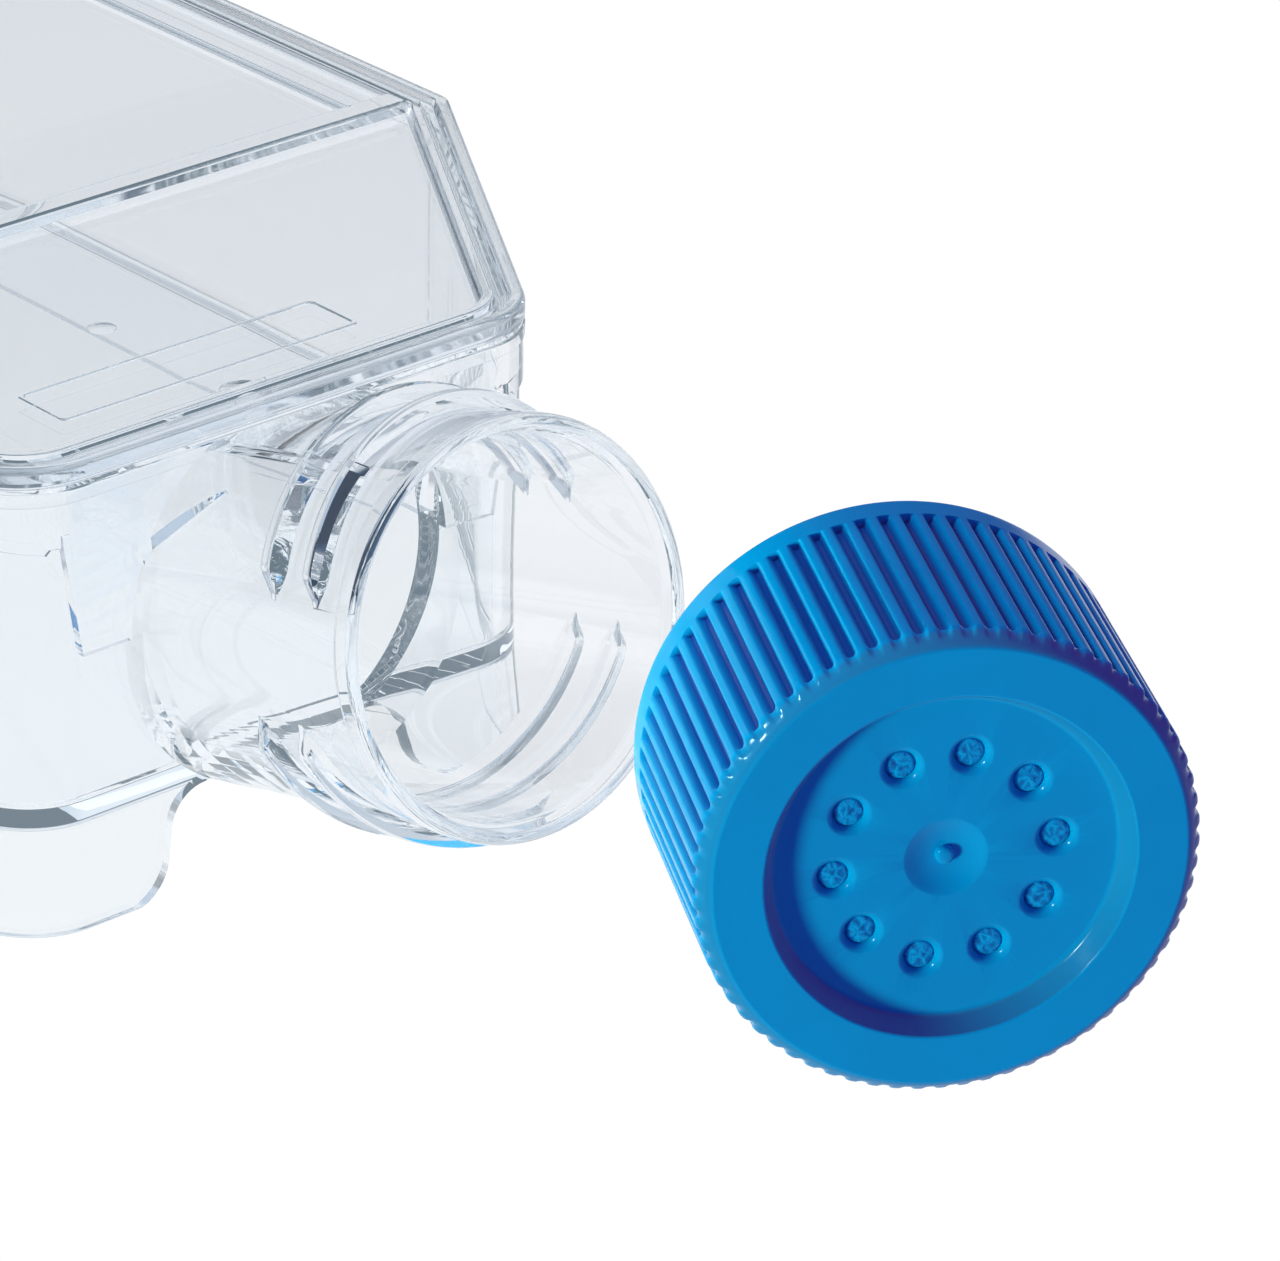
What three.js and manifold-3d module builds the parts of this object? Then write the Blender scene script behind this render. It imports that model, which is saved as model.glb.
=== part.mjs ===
// Canted-neck cell culture flask with its vented screw cap lying beside it.
// Millimetres, +Z up. The flask stands on its skirt; the neck points towards -Y.
// The cap lies on its side on the same surface, in front of the neck.
import * as THREE from 'three';
import { mergeVertices } from 'three/addons/utils/BufferGeometryUtils.js';
import Module from 'manifold-3d';

const wasm = await Module();
wasm.setup();

// ---------------------------------------------------------------- dimensions
const FRONT_W = 44.6;        // width of the front wall at the rim
const SHOULDER_X = 21.9;     // how far each slanted shoulder runs outwards
const SHOULDER_Y = 35.6;     // and how far back
const BODY_L = 105.0;        // front rim edge to rear rim edge
const R_FRONT = 7.0;         // plan corner radius, front wall to shoulder
const R_SIDE = 2.0;          // shoulder to long side
const R_REAR = 7.0;          // rear corners

const Z_FLOOR_LO = 8.35;     // underside of the floor
const Z_FLOOR_HI = 9.7;      // growth surface
const Z_FLANGE_LO = 33.9;    // underside of the weld flange
const Z_FLANGE_HI = 35.0;    // weld face
const Z_PLATE_LO = 35.3;     // underside of the plate rim (weld seam gap 0.3)
const Z_FIELD = 36.0;        // top of the plate field
const Z_REAR_FIELD = 35.75;  // top of the rear stacking recess
const Z_RIM = 36.95;         // top of the raised rim
const Z_PLUG = 34.4;         // underside of the plate where it drops into the tray
const WALL = 1.4;            // moulded wall thickness
const INS_TOP = 0.35;        // wall outer face set in from the rim, at the flange
const INS_BOT = 0.6;         // the same at the floor (draft)
const INS_FOOT = 0.4;        // the same at the foot of the skirt
const RIM_W = 3.2;           // width of the double rim
const BAR_Y = 38.05;         // centre of the cross bar
const BAR_W = 2.3;
const RECESS_X = 37.8;       // half width of the rear stacking recess

const NECK_TILT = 13.0 * Math.PI / 180;   // neck axis above horizontal
const NECK_Z = 21.74;        // height of the neck axis at the front plane y = 0
const NECK_LEN = 25.5;       // front plane to lip, along the axis
const NECK_R = 14.7;         // plain outside radius
const LIP_R = 15.0;          // lip bead radius
const BORE_THROAT = 13.1;    // bore radius at the throat
const BORE_MOUTH = 13.6;     // bore radius at the lip
const THREAD_CREST = 15.9;   // neck thread crest radius
const THREAD_LEAD = 13.8;    // three starts
const THREAD_PITCH = 4.6;    // ridge to ridge

const CAP_R = 17.6;          // over the ribs
const CAP_ROOT = 17.12;      // rib root
const CAP_L = 21.2;          // open end to closed face
const CAP_RIBS = 68;
const CAP_BORE = 16.0;       // inside radius of the skirt
const CAP_TOP_IN = 18.2;     // inside height
const CAP_THREAD = 15.3;     // cap thread crest radius
const RECESS_R = 12.85;      // recess in the closed face, at the face
const RECESS_R2 = 12.1;      // and at its floor
const RECESS_D = 1.7;
const HOLE_R = 1.1;
const HOLE_PCR = 7.73;
const HOLES = 10;
const HOLE_PHASE = 24.7 * Math.PI / 180;
const CAP_POS = [22.2, -37.5];            // centre of the open end on the bench
const CAP_AZ = -120.0 * Math.PI / 180;    // direction from open end to closed face

// ---------------------------------------------------------------- helpers
function toManifold(geometry) {
  const g = geometry.clone();
  for (const name of Object.keys(g.attributes)) if (name !== 'position') g.deleteAttribute(name);
  const m = mergeVertices(g, 1e-5);
  return new wasm.Manifold(new wasm.Mesh({
    numProp: 3,
    vertProperties: new Float32Array(m.attributes.position.array),
    triVerts: new Uint32Array(m.index.array),
  }));
}

function toGeometry(manifold) {
  const m = manifold.getMesh();
  const g = new THREE.BufferGeometry();
  g.setAttribute('position', new THREE.BufferAttribute(new Float32Array(m.vertProperties), 3));
  g.setIndex(new THREE.BufferAttribute(new Uint32Array(m.triVerts), 1));
  g.computeVertexNormals();
  return g;
}

// Closed solid through a stack of rings with equal point counts, listed counter-clockwise
// seen from the far end, so that each next ring lies further along the winding's normal.
function loft(rings, closedEnds = true) {
  const n = rings[0].length;
  const pos = [];
  for (const ring of rings) for (const p of ring) pos.push(p[0], p[1], p[2]);
  const idx = [];
  for (let r = 0; r + 1 < rings.length; r++) {
    for (let i = 0; i < n; i++) {
      const a = r * n + i, b = r * n + (i + 1) % n, c = a + n, d = b + n;
      idx.push(a, b, d, a, d, c);
    }
  }
  if (closedEnds) {
    const last = (rings.length - 1) * n;
    for (let i = 1; i + 1 < n; i++) {
      idx.push(0, i + 1, i);
      idx.push(last, last + i, last + i + 1);
    }
  }
  const g = new THREE.BufferGeometry();
  g.setAttribute('position', new THREE.Float32BufferAttribute(pos, 3));
  g.setIndex(idx);
  return toManifold(g);
}

// Rounded plan outline of the flask, set in by `ins` from the rim edge.
function outline(ins, z, seg = 5) {
  const h = FRONT_W / 2, w = h + SHOULDER_X;
  const len = Math.hypot(SHOULDER_X, SHOULDER_Y);
  const d = [SHOULDER_X / len, SHOULDER_Y / len];        // along the right shoulder
  const nrm = [-d[1], d[0]];                             // inward normal
  const p = [h + nrm[0] * ins, nrm[1] * ins];            // point on the inset shoulder line
  const yF = ins, xS = w - ins, yR = BODY_L - ins;
  const b = [p[0] + d[0] * (yF - p[1]) / d[1], yF];      // front corner
  const a = [xS, p[1] + d[1] * (xS - p[0]) / d[0]];      // shoulder to side corner
  const right = [[b, R_FRONT], [a, R_SIDE], [[xS, yR], R_REAR]];
  const all = [...right, ...right.map(([c, r]) => [[-c[0], c[1]], r]).reverse()];
  const pts = [];
  const n = all.length;
  for (let i = 0; i < n; i++) {
    const [c, r0] = all[i];
    const prev = all[(i + n - 1) % n][0], next = all[(i + 1) % n][0];
    const u = new THREE.Vector2(prev[0] - c[0], prev[1] - c[1]).normalize();
    const v = new THREE.Vector2(next[0] - c[0], next[1] - c[1]).normalize();
    const ang = Math.acos(THREE.MathUtils.clamp(u.dot(v), -1, 1));
    const r = Math.max(r0 - ins, 0.5);
    const t = r / Math.tan(ang / 2);
    const bis = u.clone().add(v).normalize();
    const o = new THREE.Vector2(c[0], c[1]).addScaledVector(bis, r / Math.sin(ang / 2));
    const s = new THREE.Vector2(c[0], c[1]).addScaledVector(u, t).sub(o);
    const e = new THREE.Vector2(c[0], c[1]).addScaledVector(v, t).sub(o);
    const a0 = Math.atan2(s.y, s.x);
    let da = Math.atan2(e.y, e.x) - a0;
    while (da < 0) da += 2 * Math.PI;
    for (let k = 0; k <= seg; k++) {
      const q = a0 + da * k / seg;
      pts.push([o.x + r * Math.cos(q), o.y + r * Math.sin(q), z]);
    }
  }
  return pts;
}

function circle(r, z, seg) {
  const pts = [];
  for (let i = 0; i < seg; i++) {
    const t = 2 * Math.PI * i / seg;
    pts.push([r * Math.cos(t), r * Math.sin(t), z]);
  }
  return pts;
}

function turned(profile, seg) {                 // profile [[r, z], ...] closed on the axis or on itself
  const g = new THREE.LatheGeometry(profile.map(([r, z]) => new THREE.Vector2(r, z)), seg);
  g.rotateX(Math.PI / 2);                       // lathe axis Y becomes Z
  return toManifold(g);
}

function box(x0, x1, y0, y1, z0, z1) {
  const g = new THREE.BoxGeometry(x1 - x0, y1 - y0, z1 - z0);
  g.translate((x0 + x1) / 2, (y0 + y1) / 2, (z0 + z1) / 2);
  return toManifold(g);
}

// A thread ridge: a tapering trapezium swept along a helix. Angles in degrees.
// along(t) gives the axial position, sign +1 puts the crest outside, -1 inside.
function ridge({ from, to, step, base, crest, wBase, wCrest, along, taper }) {
  const n = Math.max(2, Math.round(Math.abs(to - from) / step));
  const rings = [];
  for (let i = 0; i <= n; i++) {
    const t = from + (to - from) * i / n;
    const edge = Math.min(Math.abs(t - from), Math.abs(t - to)) / taper;
    const k = Math.min(1, 0.12 + 0.88 * edge);
    const top = base + (crest - base) * k;
    const a = t * Math.PI / 180, z = along(t);
    const c = Math.cos(a), s = Math.sin(a);
    rings.push([
      [base * c, base * s, z - wBase / 2],
      [top * c, top * s, z - wCrest / 2],
      [top * c, top * s, z + wCrest / 2],
      [base * c, base * s, z + wBase / 2],
    ]);
  }
  return rings;
}

function orientedLoft(rings) {                  // whichever winding gives a positive volume
  const m = loft(rings);
  if (m.volume() > 0) return m;
  return loft(rings.map((r) => [...r].reverse()));
}

// Neck frame: origin on the axis at the front plane, +Z out of the mouth,
// angle 0 at the top, 90 towards +X.
const neckU = new THREE.Vector3(0, -Math.cos(NECK_TILT), Math.sin(NECK_TILT));
const neckTop = new THREE.Vector3(0, Math.sin(NECK_TILT), Math.cos(NECK_TILT));
const neckX = new THREE.Vector3(1, 0, 0);
// columns: angle 0 -> top, angle 90 -> +X; top x (+X) must equal the axis for a proper frame
const neckMatrix = new THREE.Matrix4().makeBasis(neckTop, neckX.clone(), neckU.clone());
const neckProper = neckMatrix.determinant() > 0;
if (!neckProper) neckMatrix.makeBasis(neckTop, neckX.clone().negate(), neckU.clone());
neckMatrix.setPosition(0, 0, NECK_Z);
const SIDE = neckProper ? 1 : -1;               // angle sign in the neck's own frame
const place = (m) => m.transform(neckMatrix.elements);

// Axial position of thread ridge j at clock angle t (degrees, 0 top, 90 towards +X)
const threadAt = (j) => (t) => 14.01 - THREAD_LEAD * t / 360 + THREAD_PITCH * j;
const NECK_RIDGES = [[0, -70, 72], [1, -70, 72], [1, 107, 200], [2, 107, 256], [3, 165, 256]];

// ---------------------------------------------------------------- tray with neck
function buildTray() {
  const outer = loft([outline(INS_BOT, Z_FLOOR_LO), outline(INS_TOP, Z_FLANGE_LO + 0.4)]);
  const flange = loft([
    outline(0.25, Z_FLANGE_LO), outline(0, Z_FLANGE_LO + 0.25), outline(0, Z_FLANGE_HI),
  ]);
  const skirtOut = loft([outline(INS_FOOT, 0), outline(INS_BOT, Z_FLOOR_LO + 0.4)]);
  const skirtIn = loft([outline(INS_FOOT + WALL, -1), outline(INS_BOT + WALL + 0.1, Z_FLOOR_LO)]);

  // arch under the neck: round lower corners, hollow fillets up to the floor
  const arch = new THREE.Shape();
  arch.moveTo(-15.2, -2);
  arch.lineTo(-15.2, 0);
  arch.absarc(-15.2, 4, 4, -Math.PI / 2, 0, false);
  arch.lineTo(-11.0, 5.2);
  arch.absarc(-7.85, 5.2, 3.15, Math.PI, Math.PI / 2, true);
  arch.lineTo(7.85, Z_FLOOR_LO);
  arch.absarc(7.85, 5.2, 3.15, Math.PI / 2, 0, true);
  arch.lineTo(11.2, 4);
  arch.absarc(15.2, 4, 4, Math.PI, 1.5 * Math.PI, false);
  arch.lineTo(15.2, -2);
  const archGeo = new THREE.ExtrudeGeometry(arch, { depth: 14, bevelEnabled: false, curveSegments: 6 });
  archGeo.rotateX(Math.PI / 2);                 // shape XY -> XZ, depth towards -Y
  archGeo.translate(0, 9, 0);
  const skirt = skirtOut.subtract(skirtIn).subtract(toManifold(archGeo));

  const cavity = loft([
    outline(INS_BOT + WALL, Z_FLOOR_HI), outline(INS_TOP + WALL, Z_FLANGE_HI + 1),
  ]);

  // neck outside: plain barrel with a lip bead and a fillet-like flare at the wall
  const barrel = place(turned([
    [0, -4], [NECK_R + 0.5, -4], [NECK_R + 0.5, 0.2], [NECK_R + 0.12, 1.2], [NECK_R, 2.4],
    [NECK_R, NECK_LEN - 1.9], [LIP_R, NECK_LEN - 1.4], [LIP_R, NECK_LEN - 0.35],
    [LIP_R - 0.35, NECK_LEN], [0, NECK_LEN],
  ], 64));
  const roofShape = (z0) => {                   // everything under a roof that rises towards the mouth
    const s = new THREE.Shape([
      new THREE.Vector2(6, -10), new THREE.Vector2(6, z0 - 3.6), new THREE.Vector2(-40, z0 + 24),
      new THREE.Vector2(-40, -10),
    ]);
    const g = new THREE.ExtrudeGeometry(s, { depth: 60, bevelEnabled: false });
    // shape X -> Y, shape Y -> Z, depth -> X
    g.applyMatrix4(new THREE.Matrix4().makeBasis(
      new THREE.Vector3(0, 1, 0), new THREE.Vector3(0, 0, 1), new THREE.Vector3(1, 0, 0)));
    g.translate(-30, 0, 0);
    return toManifold(g);
  };
  let neck = barrel.intersect(roofShape(Z_FLANGE_HI));
  for (const [j, a, b] of NECK_RIDGES) {
    const rings = ridge({
      from: a, to: b, step: 6, base: NECK_R - 0.5, crest: THREAD_CREST,
      wBase: 2.6, wCrest: 0.9, along: threadAt(j), taper: 9,
    }).map((r) => r.map(([x, y, z]) => [x, SIDE * y, z]));
    neck = neck.add(place(orientedLoft(rings)));
  }
  const boreFull = place(turned([
    [0, -5], [BORE_THROAT, -5], [BORE_THROAT, 0], [BORE_MOUTH, NECK_LEN - 0.5],
    [BORE_MOUTH + 0.4, NECK_LEN + 0.1], [BORE_MOUTH + 0.4, NECK_LEN + 2], [0, NECK_LEN + 2],
  ], 64));
  const boreRoofed = boreFull.intersect(roofShape(Z_FLANGE_HI - 1.5));
  const boreFront = boreRoofed.intersect(box(-20, 20, -40, 0.6, -5, 60));
  const boreThroat = boreRoofed.intersect(box(-20, 20, -1, 4.2, Z_FLOOR_HI, 60));

  return outer.add(flange).add(skirt).add(neck)
    .subtract(cavity).subtract(boreFront).subtract(boreThroat);
}

// ---------------------------------------------------------------- top plate
function buildPlate() {
  const GAP = 0.3;
  let plate = loft([
    outline(0.12, Z_PLATE_LO), outline(0, Z_PLATE_LO + 0.12), outline(0, Z_RIM - 0.5), outline(0.5, Z_RIM),
  ]);
  plate = plate.add(loft([
    outline(INS_TOP + WALL + GAP + 0.1, Z_PLUG), outline(INS_TOP + WALL + GAP, Z_FIELD - 0.3),
  ]));
  // groove between the two beads of the rim
  const groove = loft([outline(1.35, Z_RIM - 0.55), outline(1.15, Z_RIM + 1)])
    .subtract(loft([outline(2.15, Z_RIM - 0.6), outline(2.35, Z_RIM + 1.1)]));
  plate = plate.subtract(groove);
  // front field, inside the rim and in front of the bar
  const inside = loft([outline(RIM_W + 0.2, Z_FIELD), outline(RIM_W, Z_RIM + 1)]);
  plate = plate.subtract(inside.intersect(box(-60, 60, -5, BAR_Y - BAR_W / 2, 30, 50)));
  // rear field: rectangular stacking recess with rounded corners
  const yr0 = BAR_Y + BAR_W / 2, yr1 = BODY_L - RIM_W - 3.2;
  const rr = new THREE.Shape();
  const q = 4;
  rr.moveTo(-RECESS_X, yr0);
  rr.lineTo(RECESS_X, yr0);
  rr.lineTo(RECESS_X, yr1 - q);
  rr.absarc(RECESS_X - q, yr1 - q, q, 0, Math.PI / 2, false);
  rr.lineTo(-RECESS_X + q, yr1);
  rr.absarc(-RECESS_X + q, yr1 - q, q, Math.PI / 2, Math.PI, false);
  const rg = new THREE.ExtrudeGeometry(rr, { depth: 6, bevelEnabled: false, curveSegments: 6 });
  rg.translate(0, 0, Z_REAR_FIELD);
  plate = plate.subtract(toManifold(rg));
  // shelf beside and behind the recess, one step above the front field
  plate = plate.subtract(inside.intersect(box(-60, 60, yr0, 200, Z_FIELD + 0.35, 50)));
  // label outline: a low raised line on the front field
  const ridgeW = 0.45, zT = Z_FIELD + 0.22, zB = Z_FIELD - 0.3;
  const x0 = -14.4, x1 = 12.4, y0 = 7.6, y1 = 13.2;
  for (const [a, b, c, d] of [
    [x0, x1, y1 - ridgeW, y1], [x0, x1, y0, y0 + ridgeW], [x0, x0 + ridgeW, y0, y1], [x1 - ridgeW, x1, y0, y1],
  ]) plate = plate.add(box(a, b, c, d, zB, zT));
  return plate;
}

// ---------------------------------------------------------------- cap
function buildCap() {
  // three points to a rib: two on the crest, one at the root between crests
  const CREST = 0.2;
  const ring = (crest, root, z) => {
    const pts = [];
    for (let i = 0; i < CAP_RIBS; i++) for (const [f, r] of [[-CREST, crest], [CREST, crest], [0.5, root]]) {
      const t = 2 * Math.PI * (i + f) / CAP_RIBS;
      pts.push([r * Math.cos(t), r * Math.sin(t), z]);
    }
    return pts;
  };
  const plain = (r, z) => ring(r, r, z);
  const crest = CAP_R / Math.cos(2 * Math.PI * CREST / CAP_RIBS);   // crest flats touch CAP_R at their middle
  let cap = loft([
    plain(crest - 0.35, 0), plain(crest, 0.4), plain(crest, 2.2),
    ring(crest, CAP_ROOT, 2.7), ring(crest, CAP_ROOT, 19.0),
    plain(CAP_R - 0.5, 20.6), plain(CAP_R - 1.1, CAP_L),
  ]);
  const faceFloor = CAP_L - RECESS_D;
  cap = cap.subtract(turned([
    [0, faceFloor], [RECESS_R2, faceFloor], [RECESS_R, CAP_L], [RECESS_R + 0.3, CAP_L + 1], [0, CAP_L + 1],
  ], 48));
  // gate dimple with its small nub
  cap = cap.subtract(turned([
    [0, faceFloor - 0.45], [0.7, faceFloor - 0.45], [1.9, faceFloor - 0.3], [2.9, faceFloor], [2.9, faceFloor + 0.5], [0, faceFloor + 0.5],
  ], 32));
  cap = cap.add(turned([[0, faceFloor - 0.6], [0.62, faceFloor - 0.6], [0.55, faceFloor - 0.1], [0, faceFloor - 0.05]], 16));
  // inside: open bore, closed end, plug seal ring that enters the neck
  cap = cap.subtract(turned([
    [0, -1], [CAP_BORE + 0.5, -1], [CAP_BORE + 0.5, 0.3], [CAP_BORE, 0.8], [CAP_BORE, CAP_TOP_IN], [0, CAP_TOP_IN],
  ], 56));
  cap = cap.add(turned([
    [12.3, CAP_TOP_IN - 3.4], [12.9, CAP_TOP_IN - 3.4], [13.25, CAP_TOP_IN - 2.8], [13.25, CAP_TOP_IN + 0.2], [12.3, CAP_TOP_IN + 0.2], [12.3, CAP_TOP_IN - 3.4],
  ], 48));
  for (let i = 0; i < HOLES; i++) {
    const a = HOLE_PHASE + 2 * Math.PI * i / HOLES;
    const g = new THREE.CylinderGeometry(HOLE_R, HOLE_R, 6, 12);
    g.rotateX(Math.PI / 2);
    g.translate(HOLE_PCR * Math.cos(a), HOLE_PCR * Math.sin(a), faceFloor - 0.8);
    cap = cap.subtract(toManifold(g));
  }
  // inner thread: three equal starts that run in the gaps between the neck's ridges
  const seat = NECK_LEN - CAP_TOP_IN;           // where the open end comes to when closed
  const midGap = (t) => threadAt(0.5)(t) - seat;
  for (let j = 0; j < 3; j++) {
    const turn = new THREE.Matrix4().makeRotationZ(j * 2 * Math.PI / 3);
    const rings = ridge({
      from: -48, to: 48, step: 8, base: CAP_BORE + 0.35, crest: CAP_THREAD,
      wBase: 1.7, wCrest: 0.7, along: midGap, taper: 10,
    }).map((r) => r.map(([x, y, z]) => [x, SIDE * y, z]));
    cap = cap.add(orientedLoft(rings).transform(turn.elements));
  }
  return cap;
}

function buildMembrane() {
  return turned([[0, 17.4], [11.9, 17.4], [11.9, 17.85], [0, 17.85]], 48);
}

// ---------------------------------------------------------------- scene graph
const group = new THREE.Group();
function addMesh(parent, name, manifold, material) {
  const mesh = new THREE.Mesh(toGeometry(manifold), material);
  mesh.name = name;
  parent.add(mesh);
  return mesh;
}

addMesh(group, 'tray_with_neck', buildTray(), new THREE.MeshStandardMaterial({
  color: 0xe6eef5, roughness: 0.04, metalness: 0, transparent: true, opacity: 0.3 }));
addMesh(group, 'top_plate', buildPlate(), new THREE.MeshStandardMaterial({
  color: 0xe2ebf3, roughness: 0.05, metalness: 0, transparent: true, opacity: 0.3 }));

const cap = new THREE.Group();
const capAxis = new THREE.Vector3(Math.cos(CAP_AZ), Math.sin(CAP_AZ), 0);
const capUp = new THREE.Vector3(0, 0, 1);
const capMatrix = new THREE.Matrix4().makeBasis(capUp, new THREE.Vector3().crossVectors(capAxis, capUp), capAxis);
cap.quaternion.setFromRotationMatrix(capMatrix);
cap.position.set(CAP_POS[0], CAP_POS[1], CAP_R);
addMesh(cap, 'cap_shell', buildCap(), new THREE.MeshStandardMaterial({
  color: 0x0087cf, roughness: 0.35, metalness: 0 }));
addMesh(cap, 'vent_membrane', buildMembrane(), new THREE.MeshStandardMaterial({
  color: 0xf2f4f2, roughness: 0.9, metalness: 0 }));
group.add(cap);

// origin: centre of the footprint, on the bench
group.updateMatrixWorld(true);
const bounds = new THREE.Box3().setFromObject(group, true);
group.position.set(-(bounds.min.x + bounds.max.x) / 2, -(bounds.min.y + bounds.max.y) / 2, -bounds.min.z);

export default group;
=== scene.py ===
# Looks for the cell culture flask: clear polystyrene tray and plate, blue vented cap, white membrane.
# Shapes are built in millimetres in the flask frame (front rim plane y = 0, bench z = 0), as in the
# CAD, then moved into the row frame in metres.
import math

import bpy
import numpy as np
from mathutils import Matrix, Vector


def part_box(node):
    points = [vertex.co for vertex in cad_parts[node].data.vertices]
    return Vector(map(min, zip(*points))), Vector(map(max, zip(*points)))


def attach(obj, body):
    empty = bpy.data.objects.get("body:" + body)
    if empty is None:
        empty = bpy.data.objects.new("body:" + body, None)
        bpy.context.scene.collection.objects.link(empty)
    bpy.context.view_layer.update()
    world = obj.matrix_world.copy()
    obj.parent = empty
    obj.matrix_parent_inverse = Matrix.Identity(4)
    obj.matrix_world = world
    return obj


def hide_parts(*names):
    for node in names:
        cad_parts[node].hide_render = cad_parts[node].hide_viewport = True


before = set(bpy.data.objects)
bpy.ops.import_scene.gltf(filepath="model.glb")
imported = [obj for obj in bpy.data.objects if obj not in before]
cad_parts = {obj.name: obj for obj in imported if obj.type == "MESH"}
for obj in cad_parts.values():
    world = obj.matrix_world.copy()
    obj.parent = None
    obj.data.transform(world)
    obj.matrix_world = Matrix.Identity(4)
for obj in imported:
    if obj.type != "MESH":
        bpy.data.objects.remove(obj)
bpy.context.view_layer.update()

# the rear rim edge of the tray is 105 mm behind the front rim plane
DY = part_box("tray_with_neck")[1][1] * 1000.0 - 105.0

# ---------------------------------------------------------------- dimensions (mm), as in the CAD
FRONT_W, SHOULDER_X, SHOULDER_Y, BODY_L = 44.6, 21.9, 35.6, 105.0
R_FRONT, R_SIDE, R_REAR = 7.0, 2.0, 7.0
Z_FLOOR_LO, Z_FLOOR_HI = 8.35, 9.7
Z_FLANGE_LO, Z_FLANGE_HI, Z_PLATE_LO = 33.9, 35.0, 35.3
Z_FIELD, Z_REAR_FIELD, Z_RIM, Z_PLUG = 36.0, 35.75, 36.95, 34.4
WALL, INS_TOP, INS_BOT, INS_FOOT, RIM_W = 1.4, 0.35, 0.6, 0.4, 3.2
BAR_Y, BAR_W, RECESS_X = 38.05, 2.3, 37.8
TILT, NECK_Z, NECK_LEN, NECK_R, LIP_R = math.radians(13.0), 21.74, 25.5, 14.7, 15.0
BORE_THROAT, BORE_MOUTH = 13.1, 13.6
THREAD_CREST, THREAD_LEAD, THREAD_PITCH = 15.9, 13.8, 4.6
CAP_R, CAP_ROOT, CAP_L, CAP_RIBS, CAP_BORE, CAP_TOP_IN, CAP_THREAD = 17.6, 17.12, 21.2, 68, 16.0, 18.2, 15.3
RECESS_R, RECESS_R2, RECESS_D = 12.85, 12.1, 1.7
HOLE_R, HOLE_PCR, HOLES, HOLE_PHASE = 1.1, 7.73, 10, math.radians(24.7)
CAP_POS, CAP_AZ = (22.2, -37.5), math.radians(-120.0)


# ---------------------------------------------------------------- mesh helpers
def mesh_object(name, verts, faces):
    me = bpy.data.meshes.new(name)
    me.from_pydata([tuple(map(float, v)) for v in verts], [], [tuple(map(int, f)) for f in faces])
    me.update()
    ob = bpy.data.objects.new(name, me)
    bpy.context.scene.collection.objects.link(ob)
    if volume(me) < 0:
        me.flip_normals()
    return ob


def volume(me):
    me.calc_loop_triangles()
    co = np.zeros(len(me.vertices) * 3)
    me.vertices.foreach_get("co", co)
    co = co.reshape(-1, 3)
    tri = np.zeros(len(me.loop_triangles) * 3, dtype=np.int64)
    me.loop_triangles.foreach_get("vertices", tri)
    a, b, c = (co[tri.reshape(-1, 3)[:, k]] for k in range(3))
    return float(np.einsum("ij,ij->i", a, np.cross(b, c)).sum() / 6.0)


def drop(ob):
    me = ob.data
    bpy.data.objects.remove(ob)
    if me.users == 0:
        bpy.data.meshes.remove(me)


def combine(a, b, operation, keep_b=False):
    """a becomes a (union, minus, common) b, by Blender's manifold solver."""
    before = len(a.data.polygons)
    mod = a.modifiers.new("combine", "BOOLEAN")
    mod.operation = operation
    mod.solver = "MANIFOLD"
    mod.object = b
    graph = bpy.context.evaluated_depsgraph_get()
    graph.update()
    me = bpy.data.meshes.new_from_object(a.evaluated_get(graph))
    a.modifiers.clear()
    if len(me.polygons) == 0 or len(me.polygons) == before:
        print("combine: check", a.name, operation, b.name, before, len(me.polygons))
    old = a.data
    a.data = me
    bpy.data.meshes.remove(old)
    if not keep_b:
        drop(b)
    return a


def union(a, b, **k):
    return combine(a, b, "UNION", **k)


def minus(a, b, **k):
    return combine(a, b, "DIFFERENCE", **k)


def common(a, b, **k):
    return combine(a, b, "INTERSECT", **k)


def loft(name, rings):
    """Closed solid through equal-sized rings of 3-D points, capped with one face at each end."""
    n = len(rings[0])
    verts = [p for r in rings for p in r]
    faces = []
    for r in range(len(rings) - 1):
        for i in range(n):
            a, b = r * n + i, r * n + (i + 1) % n
            faces.append((a, b, b + n, a + n))
    faces.append(tuple(reversed(range(n))))
    last = (len(rings) - 1) * n
    faces.append(tuple(last + i for i in range(n)))
    return mesh_object(name, verts, faces)


def rounded(profile, seg=4):
    """[(a, b, radius), ...] with each corner turned into an arc of that radius."""
    out = []
    n = len(profile)
    for i, (x, y, r) in enumerate(profile):
        if r <= 0 or i in (0, n - 1):
            out.append((x, y))
            continue
        p = np.array((x, y), float)
        u = np.array(profile[i - 1][:2], float) - p
        v = np.array(profile[i + 1][:2], float) - p
        lu, lv = np.linalg.norm(u), np.linalg.norm(v)
        u, v = u / lu, v / lv
        ang = math.acos(max(-1.0, min(1.0, float(u @ v))))
        if ang > math.pi - 0.02:
            out.append((x, y))
            continue
        t = min(r / math.tan(ang / 2), 0.49 * lu, 0.49 * lv)
        r = t * math.tan(ang / 2)
        bis = (u + v) / np.linalg.norm(u + v)
        o = p + bis * (r / math.sin(ang / 2))
        s, e = p + u * t - o, p + v * t - o
        a0 = math.atan2(s[1], s[0])
        da = math.atan2(e[1], e[0]) - a0
        da = (da + math.pi) % (2 * math.pi) - math.pi
        k = max(2, int(math.ceil(seg * abs(da) / (math.pi / 2))))
        for j in range(k + 1):
            q = a0 + da * j / k
            out.append((o[0] + r * math.cos(q), o[1] + r * math.sin(q)))
    return out


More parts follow.
